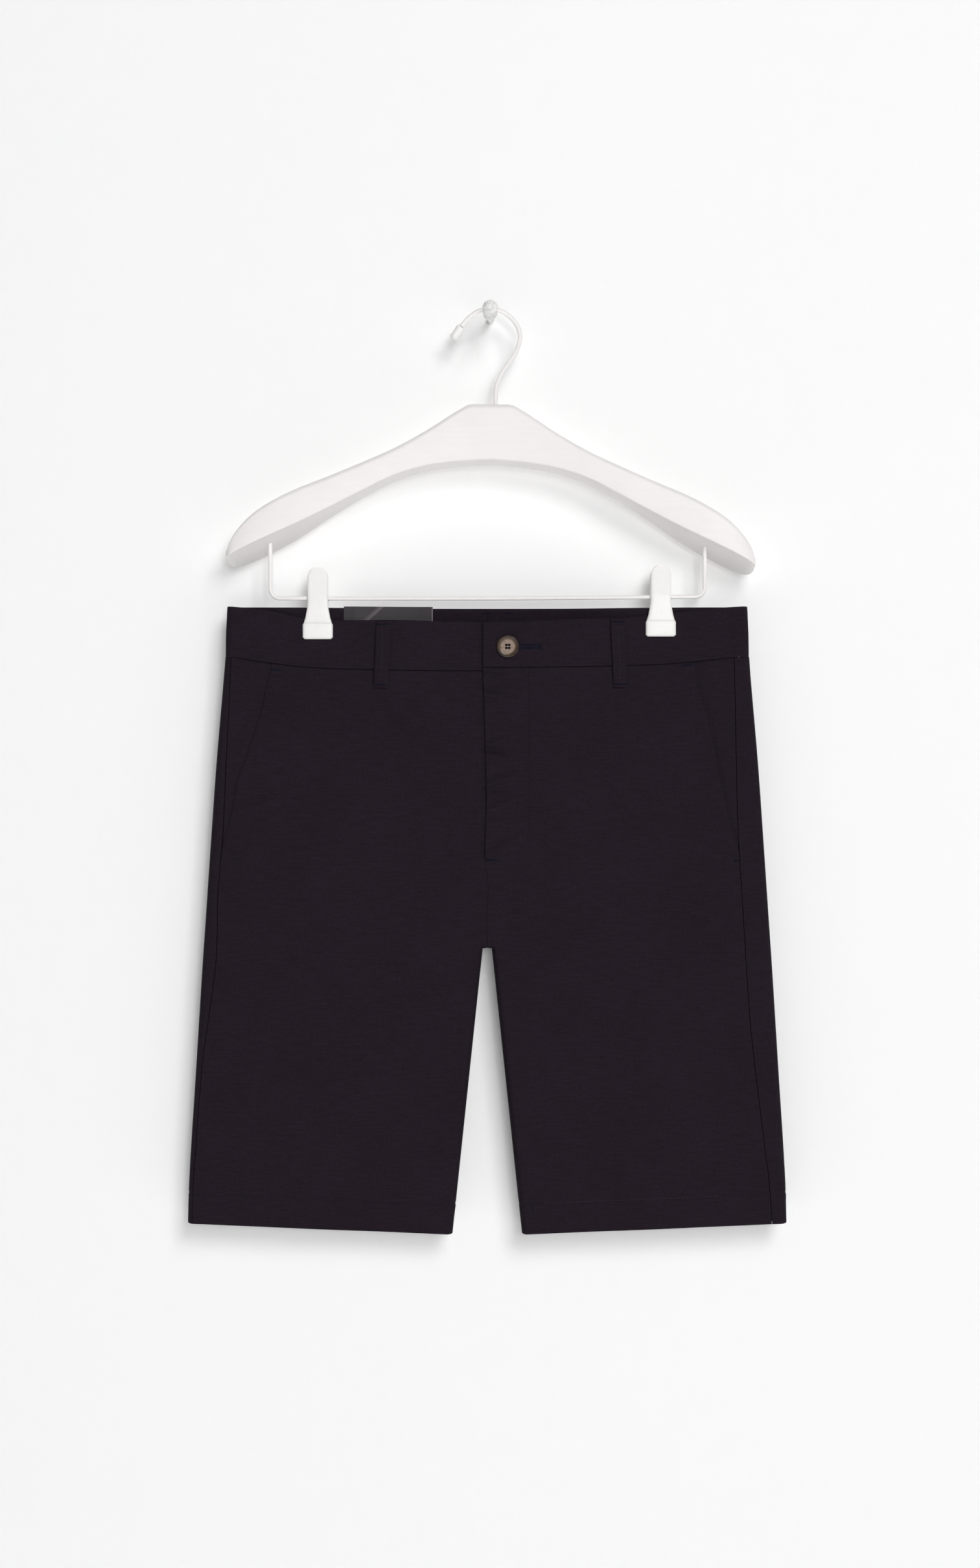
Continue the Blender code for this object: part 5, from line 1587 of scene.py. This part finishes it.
def horn_finish():
    """Horn button: pale gold in the dish, streaked brown, with a dark rim."""
    finish = Finish("horn", Specular_IOR_Level=0.4, Coat_Weight=0.12, Coat_Roughness=0.2)
    middle = (middle_of("waist_button", 0), MID_Y, middle_of("waist_button", 2))
    place = finish.add(
        "ShaderNodeVectorMath", {"operation": "SUBTRACT"}, {0: finish.place(), 1: middle}
    )
    across, _, up = finish.parts(place)
    reach = (across * across + up * up) ** 0.5
    streak = finish.noise(finish.scaled(place, (260.0, 120.0, 900.0)), 1.0, 4.0, 0.6)
    cloud = finish.noise(place, 420.0, 3.0, 0.6)
    rim = (reach + (cloud - 0.5) * 0.0022).between(0.0042, 0.0084)
    dish = finish.blend(streak.between(0.35, 0.65), (0.135, 0.070, 0.032), (0.205, 0.125, 0.068))
    edge = finish.blend(cloud.between(0.35, 0.70), (0.028, 0.019, 0.015), (0.075, 0.050, 0.033))
    return finish.done(
        Base_Color=finish.blend(rim, dish, edge),
        Roughness=0.26 + cloud * 0.20,
        Normal=finish.bump(streak + cloud, 0.12, 0.0001),
    )


def paint_finish(name, colour, grain, grain_depth, roughness):
    """Brushed or dipped paint: faint long marks, a mottled gloss and a slight change of tone."""
    finish = Finish(name, Specular_IOR_Level=0.45)
    place = finish.place()
    marks = finish.noise(finish.scaled(place, grain), 1.0, 3.0, 0.6)
    peel = finish.noise(place, 700.0, 2.0)
    cloud = finish.noise(place, 22.0, 3.0, 0.6)
    tone = (0.5 + (marks - 0.5) * 0.5 + (cloud - 0.5) * 0.9).between(0.0, 1.0)
    return finish.done(
        Base_Color=finish.blend(tone, shade(colour, 0.955), shade(colour, 1.03)),
        Roughness=roughness + (cloud - 0.5) * 0.12 + (peel - 0.5) * 0.08,
        Normal=finish.bump(marks * 0.8 + peel * 0.4, 0.20, grain_depth),
    )


def peg_finish():
    """Chalky white paint, rubbed through in specks on the peg's knob."""
    colour = bpy.context.scene.shorts_hanger.peg_colour
    finish = Finish("peg", Specular_IOR_Level=0.35)
    place = finish.place()
    speck = finish.noise(place, 900.0, 4.0, 0.75)
    cloud = finish.noise(place, 160.0, 3.0, 0.6)
    worn = (speck * 0.6 + cloud * 0.4).between(0.47, 0.62)
    return finish.done(
        Base_Color=finish.blend(worn, colour, shade(colour, 0.52)),
        Roughness=0.50 + speck * 0.25,
        Normal=finish.bump(speck, 0.5, 0.0002),
    )


def metal_finish():
    """Dark plated metal of the zip's slider."""
    finish = Finish("zip_metal", Metallic=0.9)
    scuff = finish.noise(finish.place(), 1500.0, 3.0)
    return finish.done(
        Base_Color=finish.blend(scuff, (0.030, 0.026, 0.030), (0.075, 0.068, 0.075)),
        Roughness=0.30 + scuff * 0.25,
        Normal=finish.bump(scuff, 0.2, 0.0001),
    )


def finish_of(name):
    """The named finish, made once."""
    made = bpy.data.materials.get(name + "_finish")
    if made:
        return made
    cloth = bpy.context.scene.shorts_cloth
    hanger = bpy.context.scene.shorts_hanger
    makers = {
        "cotton": cotton_finish,
        "pocketing": lambda: plain_weave_finish("pocketing", shade(cloth.colour, 1.1)),
        "zip": lambda: plain_weave_finish("zip", shade(cloth.colour, 0.9), 0.0009),
        "satin": satin_finish,
        "light_thread": lambda: thread_finish("light_thread", cloth.light_thread),
        "tonal_thread": lambda: thread_finish("tonal_thread", cloth.tonal_thread),
        "blue_thread": lambda: thread_finish("blue_thread", cloth.tack_thread),
        "horn": horn_finish,
        "wood": lambda: paint_finish("wood", hanger.paint, (35.0, 500.0, 500.0), 0.00010, 0.46),
        "wire": lambda: paint_finish("wire", hanger.paint, (600.0, 600.0, 600.0), 0.00004, 0.36),
        "plastic": lambda: paint_finish("plastic", hanger.plastic, (240.0, 240.0, 240.0), 0.00005, 0.38),
        "peg": peg_finish,
        "zip_metal": metal_finish,
    }
    return makers[name]()


def dress_node(node, finish):
    """Gives a carried-over part its finish."""
    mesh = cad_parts[node].data
    mesh.materials.clear()
    mesh.materials.append(finish_of(finish))


# ---------------------------------------------------------------- the stage
WALL_Y = 0.0006
WALL_REACH = 4.0
WALL_TOP = 2.5
FLOOR_Z = -1.5
FLOOR_REACH = 6.0
# places measured from the object's middle
KEY_PLACE = Vector((1.35, -4.3, 2.1))
KEY_AIM = Vector((-2.4, 0.0, -1.2))
FRONT_PLACE = Vector((0.6, -5.0, 0.5))
BACK_PLACE = Vector((-1.2, 2.4, 1.3))
KEY_SIZE = 1.9
SOFTBOX_SIZE = 1.2
LENS = 56.75
SENSOR = 36.0


def stage_finish(name, colour, one_sided):
    """Matt paint, lit a little from within to soften the shadows on it.

    A one-sided sheet is clear from behind, so that it hides nothing there.
    """
    finish = Finish(name, Base_Color=colour, Roughness=0.95, Specular_IOR_Level=0.1)
    finish.shader.inputs["Emission Color"].default_value = (1.0, 1.0, 1.0, 1.0)
    finish.shader.inputs["Emission Strength"].default_value = bpy.context.scene.shorts_stage.glow
    if one_sided:
        behind = finish.add("ShaderNodeNewGeometry", output="Backfacing")
        clear = finish.add("ShaderNodeBsdfTransparent")
        front = Value(finish.tree, finish.shader.outputs[0])
        mixed = finish.add("ShaderNodeMixShader", inputs={0: behind, 1: front, 2: clear})
        output = finish.tree.nodes["Material Output"]
        finish.tree.links.new(mixed.socket, output.inputs["Surface"])
    return finish.material


def stage_sheet(name, corners, finish):
    mesh = bpy.data.meshes.new(name)
    mesh.from_pydata(corners, [], [(0, 1, 2, 3)])
    mesh.materials.append(finish)
    sheet = bpy.data.objects.new(name, mesh)
    bpy.context.scene.collection.objects.link(sheet)
    return sheet


def softbox(name, place, target, size, power):
    """Square lamp that faces a target and isn't seen itself."""
    lamp = bpy.data.lights.new(name, "AREA")
    lamp.shape = "SQUARE"
    lamp.size = size
    lamp.energy = power
    box = bpy.data.objects.new(name, lamp)
    box.location = place
    box.rotation_mode = "QUATERNION"
    box.rotation_quaternion = (Vector(target) - Vector(place)).to_track_quat("-Z", "Y")
    box.visible_camera = False
    bpy.context.scene.collection.objects.link(box)


def make_stage():
    """Pale wall and floor, softboxes, even fill and the camera."""
    stage = bpy.context.scene.shorts_stage
    low, high = CAD_BOX
    middle = (low + high) / 2
    wall = stage_sheet(
        "stage_wall",
        [
            (-WALL_REACH, WALL_Y, FLOOR_Z), (WALL_REACH, WALL_Y, FLOOR_Z),
            (WALL_REACH, WALL_Y, WALL_TOP), (-WALL_REACH, WALL_Y, WALL_TOP),
        ],
        stage_finish("stage_wall", stage.wall_colour, True),
    )
    wall.visible_shadow = False
    floor = stage_sheet(
        "stage_floor",
        [
            (-FLOOR_REACH, -FLOOR_REACH, FLOOR_Z), (FLOOR_REACH, -FLOOR_REACH, FLOOR_Z),
            (FLOOR_REACH, FLOOR_REACH, FLOOR_Z), (-FLOOR_REACH, FLOOR_REACH, FLOOR_Z),
        ],
        stage_finish("stage_floor", stage.wall_colour, False),
    )
    floor.visible_shadow = False
    world = bpy.data.worlds.new("studio")
    world.use_nodes = True
    background = world.node_tree.nodes["Background"]
    background.inputs["Color"].default_value = (1.0, 1.0, 1.0, 1.0)
    background.inputs["Strength"].default_value = stage.fill
    bpy.context.scene.world = world
    softbox("key_softbox", middle + KEY_PLACE, middle + KEY_AIM, KEY_SIZE, stage.key_power)
    softbox("front_softbox", middle + FRONT_PLACE, middle, SOFTBOX_SIZE, stage.front_power)
    softbox("back_softbox", middle + BACK_PLACE, middle, SOFTBOX_SIZE, stage.back_power)
    lens = bpy.data.cameras.new("camera")
    lens.lens = LENS
    lens.sensor_width = SENSOR
    camera = bpy.data.objects.new("camera", lens)
    camera.location = (0.0, -stage.distance, stage.camera_height)
    camera.rotation_euler = (math.radians(90), 0.0, 0.0)
    bpy.context.scene.collection.objects.link(camera)
    bpy.context.scene.camera = camera
    bpy.context.scene.view_settings.view_transform = "Standard"


# ---------------------------------------------------------------- what a user may change
def colour_property(name, description, default):
    return FloatVectorProperty(
        name=name, description=description, default=default, subtype="COLOR", min=0.0, max=1.0
    )


class ClothSettings(bpy.types.PropertyGroup):
    """Colours and form of the garment."""

    colour: colour_property("Cloth", "Colour of the cotton twill", (0.0180, 0.0125, 0.0187))
    label_colour: colour_property("Label", "Colour of the blank satin label", (0.032, 0.027, 0.031))
    light_thread: colour_property("Light thread", "Thread that shows pale", (0.031, 0.031, 0.044))
    tonal_thread: colour_property("Tonal thread", "Thread near the cloth's colour", (0.0135, 0.0125, 0.0225))
    tack_thread: colour_property("Tack thread", "Thread of the bar tacks", (0.0065, 0.0085, 0.0190))
    crease_strength: FloatProperty(
        name="Creases", description="Height of the creases, 1 as worn", default=1.0, min=0.0, max=2.0
    )
    rib_pitch: FloatProperty(
        name="Rib pitch", description="Distance between the twill's ribs", default=0.00075,
        min=0.0003, max=0.003, unit="LENGTH", precision=5,
    )


class HangerSettings(bpy.types.PropertyGroup):
    """Colours of the hanger, its clips and the peg."""

    paint: colour_property("Paint", "Paint on the wood and wire", (0.900, 0.875, 0.865))
    plastic: colour_property("Plastic", "Moulded clips and hook sleeve", (0.910, 0.895, 0.880))
    peg_colour: colour_property("Peg", "Chalky paint on the peg", (0.920, 0.920, 0.910))


class StageSettings(bpy.types.PropertyGroup):
    """Wall, light and camera."""

    wall_colour: colour_property("Wall", "Colour of the wall and floor", (0.93, 0.93, 0.93))
    key_power: FloatProperty(
        name="Key light", description="Power of the key softbox", default=112.0, min=0.0, unit="POWER"
    )
    front_power: FloatProperty(
        name="Front light", description="Power of the front softbox", default=62.0, min=0.0, unit="POWER"
    )
    back_power: FloatProperty(
        name="Back light", description="Power of the softbox behind", default=36.0, min=0.0, unit="POWER"
    )
    fill: FloatProperty(name="Fill", description="Strength of the even fill", default=0.07, min=0.0)
    glow: FloatProperty(
        name="Wall glow", description="Light given off by the wall", default=0.07, min=0.0
    )
    distance: FloatProperty(
        name="Camera distance", description="From the camera to the wall", default=2.1,
        min=0.5, unit="LENGTH",
    )
    camera_height: FloatProperty(
        name="Camera height", description="Above the peg", default=-0.3934, unit="LENGTH"
    )


# ---------------------------------------------------------------- operators and panel
class SHORTS_OT_stage(bpy.types.Operator):
    """Make the wall, floor, lights and camera"""

    bl_idname = "shorts.stage"
    bl_label = "Stage"

    def execute(self, context):
        make_stage()
        return {"FINISHED"}


class SHORTS_OT_panels(bpy.types.Operator):
    """Make the front and back panels of both legs"""

    bl_idname = "shorts.panels"
    bl_label = "Panels"

    def execute(self, context):
        make_panels()
        return {"FINISHED"}


class SHORTS_OT_waistband(bpy.types.Operator):
    """Make the waistband's two halves and the label inside"""

    bl_idname = "shorts.waistband"
    bl_label = "Waistband"

    def execute(self, context):
        make_waistband()
        make_label()
        return {"FINISHED"}


class SHORTS_OT_pockets(bpy.types.Operator):
    """Make the hip pieces and the pocket bags"""

    bl_idname = "shorts.pockets"
    bl_label = "Pockets"

    def execute(self, context):
        make_pocket_facings()
        make_pocket_bags()
        return {"FINISHED"}


class SHORTS_OT_fly(bpy.types.Operator):
    """Make the fly's facing and shield, and the zip"""

    bl_idname = "shorts.fly"
    bl_label = "Fly"

    def execute(self, context):
        make_fly()
        make_zip_coil()
        dress_node("zip_slider", "zip_metal")
        return {"FINISHED"}


class SHORTS_OT_belt_loops(bpy.types.Operator):
    """Make the six belt loops"""

    bl_idname = "shorts.belt_loops"
    bl_label = "Belt loops"

    def execute(self, context):
        make_belt_loops()
        return {"FINISHED"}


class SHORTS_OT_sewing(bpy.types.Operator):
    """Make the stitches, bar tacks and buttonhole, and finish the button"""

    bl_idname = "shorts.sewing"
    bl_label = "Sewing"

    def execute(self, context):
        make_stitches()
        make_buttonhole()
        make_button_thread()
        dress_node("waist_button", "horn")
        return {"FINISHED"}


class SHORTS_OT_hanger(bpy.types.Operator):
    """Make the hanger's arms, hook, bar and clips, and the peg"""

    bl_idname = "shorts.hanger"
    bl_label = "Hanger"

    def execute(self, context):
        make_hanger_body()
        make_hook()
        make_clip_bar()
        make_clips()
        make_peg()
        return {"FINISHED"}


class SHORTS_PT_sidebar(bpy.types.Panel):
    """Settings and steps, in the order in which they run"""

    bl_idname = "SHORTS_PT_sidebar"
    bl_label = "Bermuda shorts"
    bl_space_type = "VIEW_3D"
    bl_region_type = "UI"
    bl_category = "Shorts"

    def draw(self, context):
        for group in (context.scene.shorts_cloth, context.scene.shorts_hanger, context.scene.shorts_stage):
            box = self.layout.box()
            for name in group.__annotations__:
                box.prop(group, name)
        for step in STEPS:
            self.layout.operator(step.bl_idname)


SETTINGS = {
    "shorts_cloth": ClothSettings,
    "shorts_hanger": HangerSettings,
    "shorts_stage": StageSettings,
}
STEPS = (
    SHORTS_OT_stage,
    SHORTS_OT_panels,
    SHORTS_OT_waistband,
    SHORTS_OT_pockets,
    SHORTS_OT_fly,
    SHORTS_OT_belt_loops,
    SHORTS_OT_sewing,
    SHORTS_OT_hanger,
)


def register():
    for group in (*SETTINGS.values(), *STEPS, SHORTS_PT_sidebar):
        bpy.utils.register_class(group)
    for name, group in SETTINGS.items():
        setattr(bpy.types.Scene, name, PointerProperty(type=group))


def unregister():
    for name in SETTINGS:
        delattr(bpy.types.Scene, name)
    for group in (SHORTS_PT_sidebar, *reversed(STEPS), *reversed(SETTINGS.values())):
        bpy.utils.unregister_class(group)


def main():
    register()
    for step in STEPS:
        getattr(bpy.ops.shorts, step.bl_idname.split(".")[1])()


if __name__ == "__main__":
    main()
